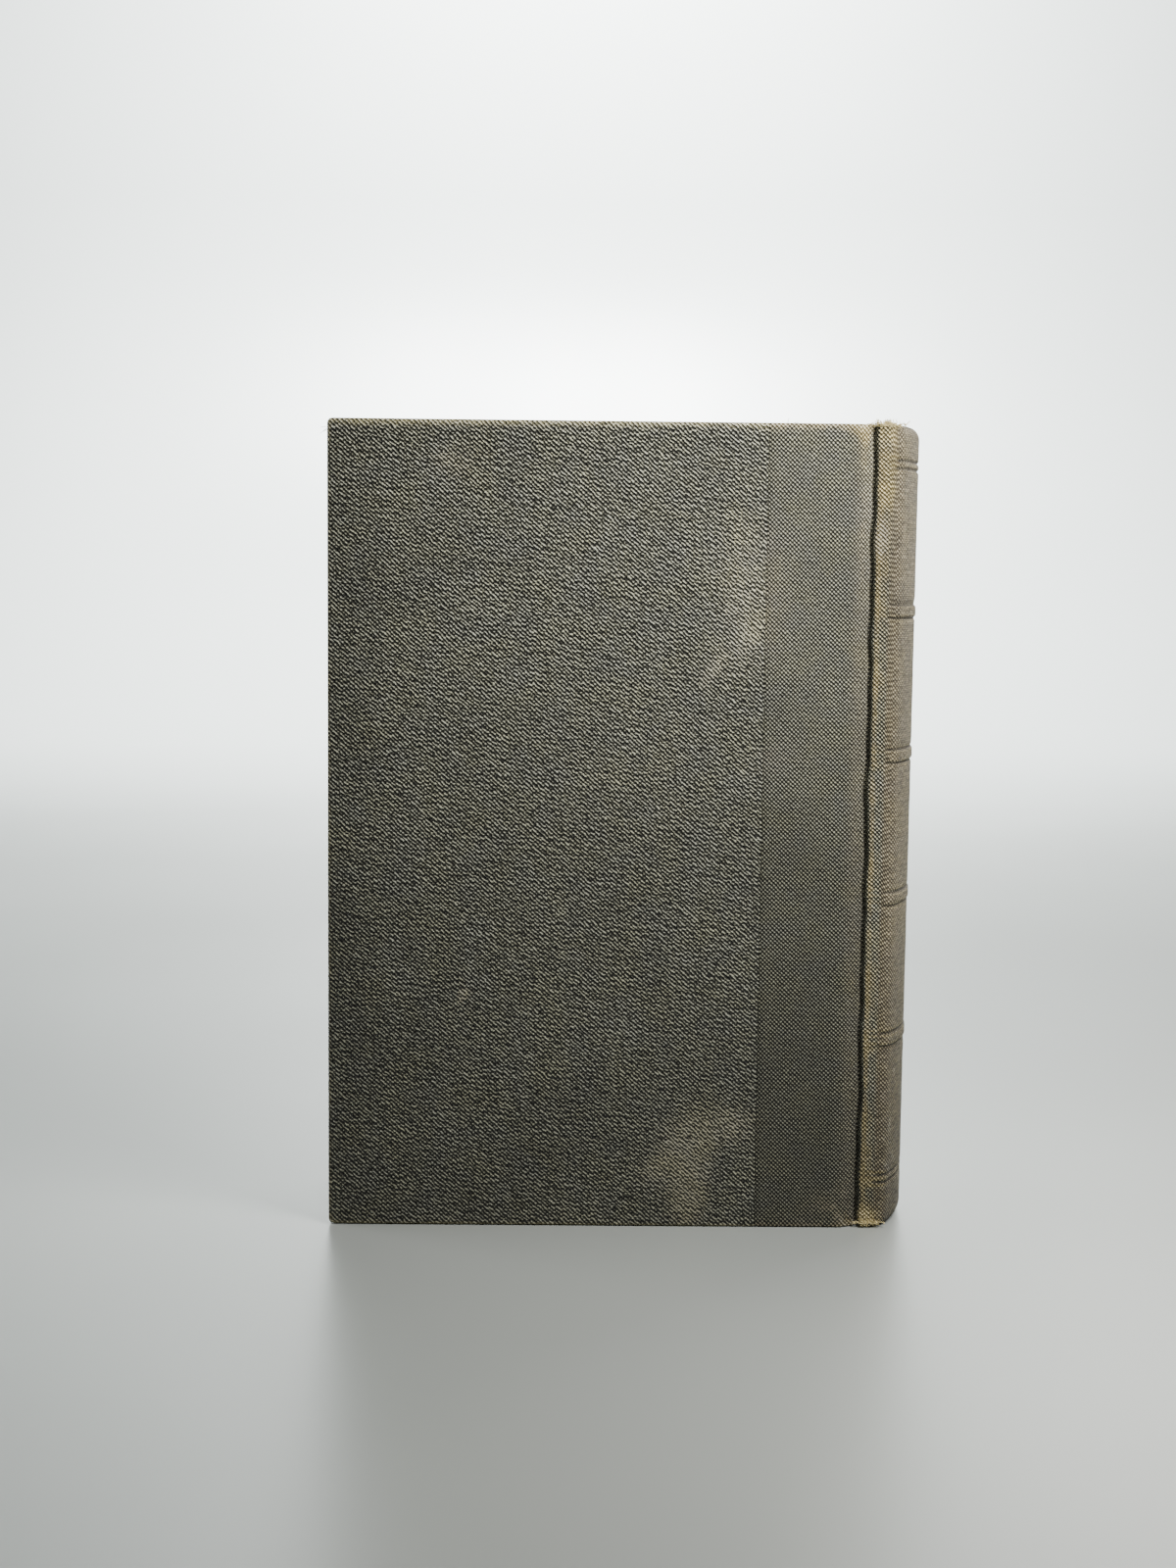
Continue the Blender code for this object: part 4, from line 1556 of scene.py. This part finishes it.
@dataclass
class Cover:
    """A cover: its board, side cloth, endpaper, and the spine cloth's lap with its strip across the hinge."""

    side: Side
    smears: Sequence[Smear]
    cloth_thickness: float = 0.00035
    paper_thickness: float = 0.0002
    fold_round: float = 0.00045
    corner_round: float = 0.0012
    turn_in: float = 0.015
    cell: float = 0.0015
    row_step: float = 0.0015
    flat_step: float = 0.0015
    groove_step: float = 0.00018
    paper_step: float = 0.002
    groove_run: float = 0.0062
    seam_columns: tuple[float, ...] = (-0.00008, 0.0, 0.0001, 0.0002)
    flyleaf_stop: float = 0.0006
    fold_gap: float = 0.0003
    fold_stop: float = 0.0001
    fold_ease: float = 0.00001
    fold_cuts: tuple[float, float, float] = (0.00014, 0.00014, 0.0002)
    fold_columns: int = 30
    rim_merge: float = 0.000002
    turn_in_rows: tuple[float, float] = (0.004, 0.009)
    straying_run: tuple[float, float] = (-0.006, -0.001)
    pucker_size: float = 0.00006
    pucker_at: tuple[float, float] = (-0.0030, 0.0022)
    paste_step: tuple[float, float] = (0.0003, 0.0016)
    cockle_size: float = 0.00004
    browning: float = 0.006
    thread_radius: float = 0.00007
    thread_depth: float = 0.0006

    @property
    def body(self) -> str:
        """The CAD body of this cover."""
        return f"{self.side.label}_cover"

    @property
    def fore(self) -> float:
        """The fore edge's distance from the joint line, below zero."""
        return BOOK.fore_x - BOOK.joint_x

    @property
    def seam(self) -> float:
        """The seam's distance from the joint line, below zero."""
        return BOOK.seam_x - BOOK.joint_x

    @property
    def page_fore(self) -> float:
        """The pages' fore edge's distance from the joint line, below zero."""
        return BOOK.page_low.x - BOOK.joint_x

    def outward(self) -> Vector:
        """The direction that the cover's outer face looks in."""
        return Vector((0, -self.side.value, 0))

    def build_side_cloth(self) -> Piece:
        """Builds the side cloth: flat to the seam, folded round three edges, turned in with mitred corners.

        Returns:
            The cloth, with its flat coordinates and its wear.
        """
        width, height = self.seam - self.fore, BOOK.height
        bpy.ops.object.select_all(action="DESELECT")
        bpy.ops.mesh.primitive_grid_add(x_subdivisions=round(width / self.cell),
                                        y_subdivisions=round(height / self.cell), size=1)
        cloth = bpy.context.object
        cloth.name = cloth.data.name = f"{self.side.label}_side_cloth_crinkled"
        places = vertex_places(cloth)
        x = self.fore + (places[:, 0] + 0.5) * width
        z = (places[:, 1] + 0.5) * height
        cloth.data.vertices.foreach_set("co", BOOK.place(self.side, x, 0 * x, z).ravel())

        bpy.ops.object.mode_set(mode="EDIT")
        bpy.ops.mesh.select_mode(type="VERT")
        self.select(cloth, lambda spot: spot.x < BOOK.fore_x + TOUCH and not TOUCH < spot.z < height - TOUCH)
        bpy.ops.mesh.bevel(offset=self.corner_round, offset_type="OFFSET", segments=3, affect="VERTICES")
        bpy.ops.mesh.select_mode(type="EDGE")
        self.select_rim(cloth)
        wrap = Vector((0, self.side.value * BOOK.wrap_depth, 0))
        bpy.ops.mesh.extrude_edges_move(TRANSFORM_OT_translate={"value": wrap})
        bpy.ops.mesh.extrude_edges_move(TRANSFORM_OT_translate={"value": (0, 0, 0)})
        mesh = bmesh.from_edit_mesh(cloth.data)
        for vertex in (v for v in mesh.verts if v.select):
            vertex.co.x = max(vertex.co.x, BOOK.fore_x + self.turn_in)
            vertex.co.z = min(max(vertex.co.z, self.turn_in), height - self.turn_in)
        bmesh.update_edit_mesh(cloth.data)
        bpy.ops.mesh.select_all(action="SELECT")
        bpy.ops.mesh.remove_doubles(threshold=self.rim_merge)
        bpy.ops.mesh.normals_make_consistent(inside=False)
        bpy.ops.object.mode_set(mode="OBJECT")
        facing_out(cloth, self.outward())
        apply_modifier(cloth, "BEVEL", width=self.fold_round, segments=3, limit_method="ANGLE",
                       angle_limit=math.radians(60))
        self.mark_side_cloth(cloth)
        thicken(cloth, self.cloth_thickness)
        smooth(cloth)
        return cloth

    def select(self, obj: Piece, test: Callable[[Vector], bool]) -> None:
        """Selects in edit mode the vertices that pass a test on their place.

        Args:
            obj: The mesh in edit mode.
            test: Says of a place whether its vertex is wanted.
        """
        bpy.ops.mesh.select_all(action="DESELECT")
        mesh = bmesh.from_edit_mesh(obj.data)
        for vertex in mesh.verts:
            vertex.select = test(vertex.co)
        mesh.select_flush(True)
        bmesh.update_edit_mesh(obj.data)

    def select_rim(self, obj: Piece) -> None:
        """Selects the boundary edges of the side cloth, apart from those along the seam.

        Args:
            obj: The mesh in edit mode.
        """
        bpy.ops.mesh.select_all(action="DESELECT")
        mesh = bmesh.from_edit_mesh(obj.data)
        for edge in mesh.edges:
            on_seam = all(v.co.x > BOOK.seam_x - TOUCH for v in edge.verts)
            edge.select = edge.is_boundary and not on_seam
        bmesh.update_edit_mesh(obj.data)

    def mark_side_cloth(self, cloth: Piece) -> None:
        """Writes the side cloth's flat coordinates, its wear and its painted light and shade, from the places
        of its vertices.

        Args:
            cloth: The side cloth.
        """
        places = vertex_places(cloth) * MM
        x = places[:, 0] - BOOK.joint_x * MM
        z = places[:, 2]
        height, wrap, fore = BOOK.height * MM, BOOK.wrap_depth * MM, self.fore * MM
        depth = BOOK.half_thickness * MM - np.abs(places[:, 1])
        from_fore, from_head = x - fore, height - z
        nearest = np.minimum(np.minimum(from_fore, from_head), z)
        past = np.where(depth > 0.2, depth + np.where(depth > wrap - 0.1, nearest, 0), 0)
        folded = past > 0
        flat_x = np.where(folded & (nearest == from_fore), fore - past, x)
        flat_z = np.where(folded & (nearest == from_head), height + past, z)
        flat_z = np.where(folded & (nearest == z), -past, flat_z)
        offset = 0.0 if self.side is Side.REAR else 500.0

        patchy = 0.8 + 0.2 * ripple(71, 4.0, x + 700 * self.side.value, z)
        corner = np.exp(-(from_fore**2 + np.minimum(from_head, z) ** 2) / 3.2**2)
        on_edge = bump_at(nearest, 0, np.where(nearest == from_head, 1.7, 0.55)) * (depth < wrap - 0.3)
        rub = 0.95 * on_edge * (1 - 0.3 * corner) + 0.4 * corner + 0.1 * bump_at(z, 0, 1.3)
        soil_and_shade = 0.22 * bump_at(from_fore, 0, 14) * (0.6 + 0.4 * ripple(72, 25.0, x, z))
        smeared = sum(smear.at(x, z) for smear in self.smears) * (depth < 0.3)
        head_dust = 0.6 * bump_at(from_head, 0, 1.6) * (1 - 0.8 * corner)
        # The shade is the light and shade painted on the cover
        wear = Wear(shade=painted_cover_shade(x, z), rub=rub * patchy, soil_and_shade=soil_and_shade, dust=smeared + head_dust)
        write_sheet(cloth, flat_x + offset, flat_z, wear.marks())

    def edge_fold(self, depth: np.ndarray, sunk: np.ndarray) -> list[tuple[np.ndarray, np.ndarray]]:
        """The rows of a fold round the cover's edge.

        Args:
            depth: Depth of each column on the cover's outer face, in metres.
            sunk: How far each column lies under the side cloth, in metres.

        Returns:
            The drop from the edge and the depth of each column, row by row.
        """
        inner = BOOK.wrap_depth - sunk
        radius = np.minimum(self.fold_round, (inner - depth) / 2)
        quarter = [(1 - math.sin(angle), 1 - math.cos(angle)) for angle in np.linspace(0, math.pi / 2, 5)]
        rows = [(sunk + radius * start, depth + radius * end) for start, end in quarter]
        rows += [(sunk + radius * end, inner - radius * start) for start, end in quarter]
        return rows + [(drop + 0 * depth, inner) for drop in (*self.turn_in_rows, self.turn_in)]

    def build_joint_cloth(self) -> Piece:
        """Builds the spine cloth's lap on the board, with the strip that bends across the hinge.

        Returns:
            The strip, with its flat coordinates and its wear.
        """
        line = JOINT.line(SPINE_FORM.groove_depth, self.seam)
        length = along(line)[-1]
        groove_start = length - self.groove_run
        stations = np.sort(np.concatenate([
            np.linspace(0, groove_start, round(groove_start / self.flat_step)),
            np.linspace(groove_start, length, round(self.groove_run / self.groove_step))[1:],
            np.interp(self.seam + np.array(self.seam_columns), line[:, 0], along(line)),
        ]))
        x, depth = resampled(line, stations).T
        rows = round(BOOK.height / self.row_step)
        levels = np.linspace(self.fold_round, BOOK.height - self.fold_round, rows)[1:-1]
        # The columns under the side cloth are folded a little lower, so that the two cloths share no face
        fold = self.edge_fold(depth, np.where(x < self.seam + self.seam_columns[-1], depth, 0.0))
        plain = [(level + 0 * depth, depth) for level in levels]
        head = [(BOOK.height - drop, inward) for drop, inward in fold]
        z, inward = np.array([*reversed(fold), *plain, *head]).transpose(1, 0, 2)
        straying = JOINT.wander(z, -self.side.value) * rising(*self.straying_run, x)
        pucker = self.pucker_size * ripple(83, 4.0, (x + 0.6 * z) * MM, z * 0.2) * bump_at(x, *self.pucker_at)
        outer = np.abs(inward - depth) < TOUCH
        placed = BOOK.place(self.side, x + straying, inward + pucker * outer, z)
        strip = grid_sheet(f"{self.side.label}_joint_cloth_pressed", placed)
        facing_out(strip, self.outward())
        flat_x = (stations - length + JOINT.tuck_x) * MM
        flat_x = flat_x if self.side is Side.REAR else 2 * along(SPINE_FORM.half_line())[-1] * MM - flat_x
        wear = self.joint_wear(x * MM, z * MM, inward * MM)
        write_sheet(strip, flat_x, climbed(placed, len(fold), levels[0]), wear.marks())
        thicken(strip, self.cloth_thickness * 0.8)
        smooth(strip)
        return strip

    def joint_wear(self, x: np.ndarray, z: np.ndarray, depth: np.ndarray) -> Wear:
        """Where the lap and its strip have rubbed and gathered dirt, and where light and shade are painted on
        them.

        Args:
            x: Distance from the joint line in millimetres, below zero on the board.
            z: Height in millimetres.
            depth: Depth in millimetres.

        Returns:
            Its wear, which is hardest at head and tail and on the board's arris.
        """
        height = BOOK.height * MM
        patchy = 0.7 + 0.3 * ripple(91, 4.0, x + 500 * self.side.value, z)
        ends = (bump_at(z, 0, 0.7) + bump_at(z, height, 1.7)) * (depth < BOOK.wrap_depth * MM - 0.3)
        arris = bump_at(x, -2.4, 1.5)
        arris_rub = arris * (0.30 + 0.16 * rising(120, height, z))
        head_corner = bump_at(z, height, 6) * bump_at(x, -3.5, 3.5)
        tail_corner = bump_at(z, 0, 3) * bump_at(x, -4.0, 6.0)
        # Painted shade in the groove, fading out towards the tail
        painted_groove_shade = 0.25 * rising(-0.5, -0.1, x) * rising(2, 18, z)
        # Darker on the lap beside the groove, more so towards the tail
        lap_darkening = (0.10 + 0.16 * falling(20, 80, z)) * falling(90, 122, z) * falling(-8, -3, x)
        smeared = sum(smear.at(x, z) for smear in self.smears) * (depth < 2.0)
        crumbs = np.maximum(ripple(93, 1.7, x + 300 * self.side.value, z), 0)
        crumbs = 1.1 * crumbs * falling(2, 13, z) * rising(-12, -4, x)
        return Wear(
            # Painted shade as on the side cloth, with painted light in the crease towards the head
            shade=painted_cover_shade(x, z) * (1 + 0.45 * bump_at(x, -0.6, 1.6) * rising(150, 192, z)),
            rub=(0.95 * ends + arris_rub + 0.5 * head_corner + 0.4 * tail_corner) * patchy,
            soil_and_shade=painted_groove_shade + lap_darkening,
            dust=smeared + 0.7 * ends * patchy + crumbs,
            sun=0.35 * rising(-6.0, -3.2, x),
            pucker=0.5 * arris,
        )

    def build_paper(self, part: str, places: Sequence[np.ndarray], inwards: bool, thickness: float) -> Piece:
        """Builds a sheet of the endpaper, with its flat coordinates and its browned edges.

        Args:
            part: What the sheet is, for its name.
            places: The distances from the joint line, depths and heights of its points, rows first.
            inwards: Whether its face looks towards the pages.
            thickness: Its thickness.

        Returns:
            The sheet.
        """
        x, depth, z = np.broadcast_arrays(*places)
        sheet = grid_sheet(f"{self.side.label}_{part}", BOOK.place(self.side, x, depth, z))
        facing_out(sheet, -self.outward() if inwards else self.outward())
        edge = np.minimum(np.minimum(z - BOOK.page_low.z, BOOK.page_high.z - z), x - self.page_fore)
        age = 0.55 * np.exp(-edge / self.browning) + 0.35 * bump_at(x, 0, 0.010)
        shift = 300.0 * self.side.value + (0.0 if part == "pastedown_paper" else 150.0)
        write_sheet(sheet, x * MM + shift, z * MM, {"age": np.clip(age, 0, 1)})
        thicken(sheet, thickness)
        smooth(sheet)
        return sheet

    def paper_grid(self, end: float) -> tuple[np.ndarray, np.ndarray]:
        """Distances from the joint line and heights, over the page from its fore edge to an end."""
        x = np.linspace(self.page_fore, end, round((end - self.page_fore) / self.paper_step))
        return np.meshgrid(x, self.paper_levels())

    def paper_levels(self) -> np.ndarray:
        """The heights of the endpaper's rows."""
        return np.linspace(BOOK.page_low.z, BOOK.page_high.z, round(BOOK.height / self.paper_step))

    def build_pastedown(self) -> Piece:
        """Builds the fixed half of the endpaper, stepped over the edges of the turned-in cloth.

        Returns:
            The sheet.
        """
        x, z = self.paper_grid(-JOINT.board_stop)
        places = (x, self.pasted_depth(x, z), z)
        return self.build_paper("pastedown_paper", places, True, self.paper_thickness)

    def pasted_depth(self, x: np.ndarray, z: np.ndarray) -> np.ndarray:
        """The depth of the pastedown's face, raised over the turned-in cloth and sunk on the bare board.

        Args:
            x: Distances from the joint line.
            z: Heights above the tail.

        Returns:
            The depth at each place.
        """
        inset = np.minimum(x - self.fore, np.minimum(z, BOOK.height - z)) - self.turn_in
        on_board = BOOK.board_inner_depth + self.fold_gap + self.paper_thickness
        over_cloth = BOOK.pastedown_depth
        return over_cloth + (on_board - over_cloth) * rising(*self.paste_step, inset)

    def build_flyleaf(self) -> Piece:
        """Builds the free half of the endpaper, which lies on the pages, slightly cockled.

        Returns:
            The sheet.
        """
        x, z = self.paper_grid(-self.flyleaf_stop)
        cockle = self.cockle_size * ripple(61, 38.0, x * MM, z * MM) * rising(0, 0.02, -x)
        places = (x, self.leaf_depth + cockle, z)
        return self.build_paper("flyleaf_paper", places, False, self.paper_thickness)

    @property
    def leaf_depth(self) -> float:
        """The depth of the flyleaf's face."""
        return BOOK.pastedown_depth + self.fold_gap

    def build_endpaper_fold(self) -> Piece:
        """Builds the endpaper's strip across the hinge, from the flyleaf round the fold to the pastedown.

        Returns:
            The strip.
        """
        z = self.paper_levels()
        rows = []
        for level in z:
            end_depth = float(self.pasted_depth(np.array(-JOINT.board_stop), np.array(level)))
            corners = [
                (-self.flyleaf_stop, self.leaf_depth),
                (-self.fold_stop, self.leaf_depth - self.fold_ease),
                (-self.fold_stop, BOOK.pastedown_depth + self.fold_ease),
                (-self.flyleaf_stop, BOOK.pastedown_depth),
                (-JOINT.board_stop, end_depth),
            ]
            line = rounded(corners, self.fold_cuts, 4)
            rows.append(resampled(line, np.linspace(0, along(line)[-1], self.fold_columns)))
        x, depth = np.array(rows).transpose(2, 0, 1)
        return self.build_paper("endpaper_fold", (x, depth, z[:, None]), True, self.paper_thickness * 0.7)

    def bend(self, piece: Piece, from_x: float) -> None:
        """Bakes a strip's place into its mesh.

        Args:
            piece: The strip.
            from_x: Where it leaves the pages, from the joint line. Not used.
        """
        start = BOOK.place(self.side, from_x, 0.0, 0.0).tolist()
        end = BOOK.place(self.side, -JOINT.board_stop, 0.0, 0.0).tolist()
        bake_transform(piece)

    def build_loose_threads(self, cotton: Material) -> None:
        """Builds the short threads that stand off the head corner of the fore edge and the head of the lap.

        Args:
            cotton: Loose dyed cotton.
        """
        draw = random.Random(17)
        fibres = []
        at_corner = ((-0.0026, -0.0001, 0.0022), (-0.0021, -0.0002, 0.0014), (-0.0030, 0.0001, 0.0012))
        for z, x, reach in at_corner:
            start = Vector(BOOK.place(self.side, self.fore + x, self.thread_depth, BOOK.height + z).tolist())
            heading = Vector((-1, -0.2 * self.side.value, draw.gauss(-0.1, 0.3)))
            fibres.append(curling(draw, start, heading, reach))
        for x in (-0.0212, -0.0206, -0.0198):
            start = Vector(BOOK.place(self.side, x, self.thread_depth, BOOK.height - 0.0001).tolist())
            heading = Vector((draw.gauss(0.5, 0.4), 0, draw.uniform(0.2, 0.6)))
            fibres.append(curling(draw, start, heading, draw.uniform(0.0008, 0.0016)))
        threads = fibre_piece(f"{self.side.label}_loose_threads", fibres, self.thread_radius)
        settle(threads, self.body, cotton)

    def build(self, finishes: Finishes) -> None:
        """Builds and dresses every piece of the cover.

        Args:
            finishes: The book's materials.
        """
        label = self.side.label
        cloth = self.build_side_cloth()
        settle(cloth, self.body, finishes.side_cloth, f"{label}_side_cloth")
        strip = self.build_joint_cloth()
        strip.data.materials.append(finishes.spine_cloth)
        self.bend(strip, JOINT.tuck_x)
        hand_over(strip, f"{label}_joint_cloth")
        settle(self.build_pastedown(), self.body, finishes.endpaper, f"{label}_pastedown")
        settle(self.build_flyleaf(), "book_block", finishes.endpaper, f"{label}_flyleaf")
        fold = self.build_endpaper_fold()
        fold.data.materials.append(finishes.endpaper)
        self.bend(fold, -self.flyleaf_stop)
        hand_over(fold, "")
        if self.side is Side.REAR:
            self.build_loose_threads(finishes.thread_dark)
        redress(f"{label}_board", finishes.board)


def redress(node: str, material: Material) -> None:
    """Gives a CAD node that stays in view its finish.

    Args:
        node: The CAD node.
        material: Its finish.
    """
    shown = frame["nodes"][node]
    shown.data.materials.clear()
    shown.data.materials.append(material)


@dataclass
class TextBlock:
    """The sewn pages: bundles of leaves, rounded and backed together, with a hollow fore edge."""

    bundles: int = 56
    leaf_stations: int = 16
    back_stations: int = 14
    back_run: float = 0.001
    back_gap: float = 0.0005
    flare_x: float = 0.00143
    flare_share: float = 0.31
    cover_and_papers: float = 0.0047
    stray: float = 0.00012
    fill: float = 0.95

    @property
    def side_y(self) -> float:
        """How far the flat sides of the pages lie from the middle plane."""
        return BOOK.half_thickness - self.cover_and_papers

    def flare(self, x: np.ndarray) -> np.ndarray:
        """How much wider than the pages the back is.

        Args:
            x: Distances from the joint line.

        Returns:
            The factor on a page's distance from the middle plane.
        """
        half = (BOOK.page_high.y - BOOK.page_low.y) / 2
        run = np.interp(x, [-self.back_run, self.flare_x, SPINE_FORM.shoulder_out], [0, self.flare_share, 1])
        return 1 + (half / self.side_y - 1) * run

    def build_bundle(self, index: int, draw: random.Random) -> Piece:
        """Builds one bundle of leaves.

        Args:
            index: Its place in the block, from the rear.
            draw: The source of its small misalignments.

        Returns:
            The bundle, as a closed sheet.
        """
        pitch = 2 * self.side_y / self.bundles
        y = -self.side_y + (index + 0.5) * pitch
        radius = SPINE_FORM.back_radius
        hollow = math.sqrt(radius**2 - y**2) - math.sqrt(radius**2 - self.side_y**2)
        fore = BOOK.page_low.x - BOOK.joint_x + hollow + draw.uniform(0, self.stray)
        wide = y * SPINE_FORM.shoulder_y / self.side_y
        back = SPINE_FORM.arc_centre + math.sqrt(radius**2 - wide**2)
        x = np.concatenate([
            np.linspace(fore, -self.back_run - self.back_gap, self.leaf_stations),
            np.linspace(-self.back_run, back, self.back_stations),
        ])
        low = BOOK.page_low.z + draw.uniform(0, self.stray)
        high = BOOK.page_high.z - draw.uniform(0, self.stray)
        xs, zs = np.meshgrid(x, np.array([low, high]))
        bundle = grid_sheet(f"leaves_{index}", np.stack([BOOK.joint_x + xs, y * self.flare(xs), zs], axis=-1))
        apply_modifier(bundle, "SOLIDIFY", thickness=pitch * self.fill, offset=0, use_even_offset=True)
        return bundle

    def build(self, finishes: Finishes) -> None:
        """Builds and dresses the pages, and dresses what lies hidden on their back.

        Args:
            finishes: The book's materials.
        """
        draw = random.Random(5)
        pages = join("page_bundles", [self.build_bundle(index, draw) for index in range(self.bundles)])
        close_mesh(pages)
        smooth(pages, math.radians(30))
        settle(pages, "book_block", finishes.pages, "text_block")
        redress("mull", finishes.mull)
        redress("spine_lining", finishes.kraft)
        redress("spine_inlay", finishes.card)


@dataclass(frozen=True)
class Softbox:
    """A square area light that faces a point: places and size in metres, power in watts."""

    name: str
    place: tuple[float, float, float]
    target: tuple[float, float, float]
    size: float
    power: float
    colour: str
    spread: float = math.pi

    def build(self) -> None:
        """Adds the light to the scene, unseen by the camera."""
        data = bpy.data.lights.new(self.name, "AREA")
        data.size = self.size
        data.energy = self.power
        data.color = linear(self.colour)[:3]
        data.spread = self.spread
        lamp = bpy.data.objects.new(self.name, data)
        lamp.location = self.place
        lamp.visible_camera = False
        lamp.rotation_euler = (Vector(self.target) - Vector(self.place)).to_track_quat("-Z", "Y").to_euler()
        bpy.context.scene.collection.objects.link(lamp)


@dataclass(frozen=True)
class Studio:
    """The plain pale floor, the soft lights, and the camera at the photograph's viewing angle."""

    lens_mm: float = 47.25
    place: tuple[float, float, float] = (-0.0149, -0.5208, 0.1620)
    yaw: float = math.radians(-0.64)
    pitch_down: float = math.radians(5.89)
    roll: float = math.radians(0.63)
    floor_drop: float = 0.0002
    floor_size: float = 8.0
    wall_y: float = 2.0
    sweep_radius: float = 0.6
    softboxes: tuple[Softbox, ...] = (
        Softbox("key_softbox", (0.14, -0.15, 0.275), (0.03, -0.02, 0.12), 0.15, 1.06, "#fffcf6"),
        Softbox("wall_softbox", (0.0, 0.9, 1.7), (0.0, 1.9, 0.6), 0.8, 105.0, "#ffffff", math.radians(100)),
        Softbox("fore_softbox", (-0.9, 0.25, 0.6), (0.0, 0.0, 0.1), 0.5, 3.0, "#fbfaf6"),
        Softbox("back_softbox", (0.5, 0.75, 0.6), (0.0, 0.0, 0.1), 0.5, 4.0, "#fffaf2"),
    )

    def build(self) -> None:
        """Builds the floor, the lights, the world and the camera."""
        self.build_sweep()
        for softbox in self.softboxes:
            softbox.build()
        world = bpy.data.worlds.new("pale_room")
        bpy.context.scene.world = world
        world.use_nodes = True
        background = world.node_tree.nodes["Background"]
        background.inputs["Color"].default_value = linear("#f1eeea")
        background.inputs["Strength"].default_value = 0.05
        self.build_camera()

    def build_sweep(self) -> None:
        """Builds the plain pale floor, which sweeps up into a white wall far behind the book."""
        turn = np.linspace(0, math.pi / 2, 13)
        swept = self.wall_y - self.sweep_radius * (1 - np.sin(turn))
        y = np.concatenate([[-2.5, -0.5, 0.5], swept, [self.wall_y]])
        z = np.concatenate([[0, 0, 0], self.sweep_radius * (1 - np.cos(turn)), [2.6]]) - self.floor_drop
        x = np.linspace(-self.floor_size / 2, self.floor_size / 2, 9)
        points = np.stack(np.broadcast_arrays(x[None, :], y[:, None], z[:, None]), axis=-1)
        sweep = grid_sheet("studio_sweep", points)
        facing_out(sweep, Vector((0, -1, 1)))
        smooth(sweep, math.radians(60))
        # Satin paint, rolled on, shows only as a plain pale surface with a soft, slightly uneven reflection
        look = Look("studio_floor_satin_paint")
        place = look.add(OBJECT_PLACE, out="Object")
        cloud = look.add(NOISE, place, 3.0, 2.0, 0.5, out="Fac")
        rough = look.add(RANGE, cloud, 0.3, 0.7, 0.30, 0.38)
        look.shader.inputs["Base Color"].default_value = linear("#b4bab8")
        look.tree.links.new(rough, look.shader.inputs["Roughness"])
        sweep.data.materials.append(look.material)

    def build_camera(self) -> None:
        """Builds the camera, level to within a degree and just above the middle of the cover."""
        across = Vector((math.cos(self.yaw), math.sin(self.yaw), 0))
        ahead = Vector((-math.sin(self.yaw) * math.cos(self.pitch_down),
                        math.cos(self.yaw) * math.cos(self.pitch_down), -math.sin(self.pitch_down)))
        up = across.cross(ahead)
        right = across * math.cos(self.roll) + up * math.sin(self.roll)
        top = up * math.cos(self.roll) - across * math.sin(self.roll)
        data = bpy.data.cameras.new("photograph_view")
        data.lens = self.lens_mm
        data.sensor_width = 36
        data.clip_start = 0.01
        data.clip_end = 50
        camera = bpy.data.objects.new("photograph_view", data)
        turn = Matrix((right, top, -ahead)).transposed().to_4x4()
        camera.matrix_world = Matrix.Translation(self.place) @ turn
        bpy.context.scene.collection.objects.link(camera)
        bpy.context.scene.camera = camera


BOOK = BookFrame.read()
SPINE_FORM = SpineForm()
JOINT = Joint()


def main() -> None:
    """Builds the book, its covers and the studio, and reports each piece."""
    logging.basicConfig(level=logging.INFO, format="%(name)s: %(message)s")
    finishes = Finishes.make()
    TextBlock().build(finishes)
    Spine(form=SPINE_FORM).build(finishes.spine_cloth, finishes.band, finishes.thread_pale)
    Cover(Side.REAR, REAR_SMEARS).build(finishes)
    Cover(Side.FRONT, FRONT_SMEARS).build(finishes)
    Studio().build()


if __name__ == "__main__":
    main()
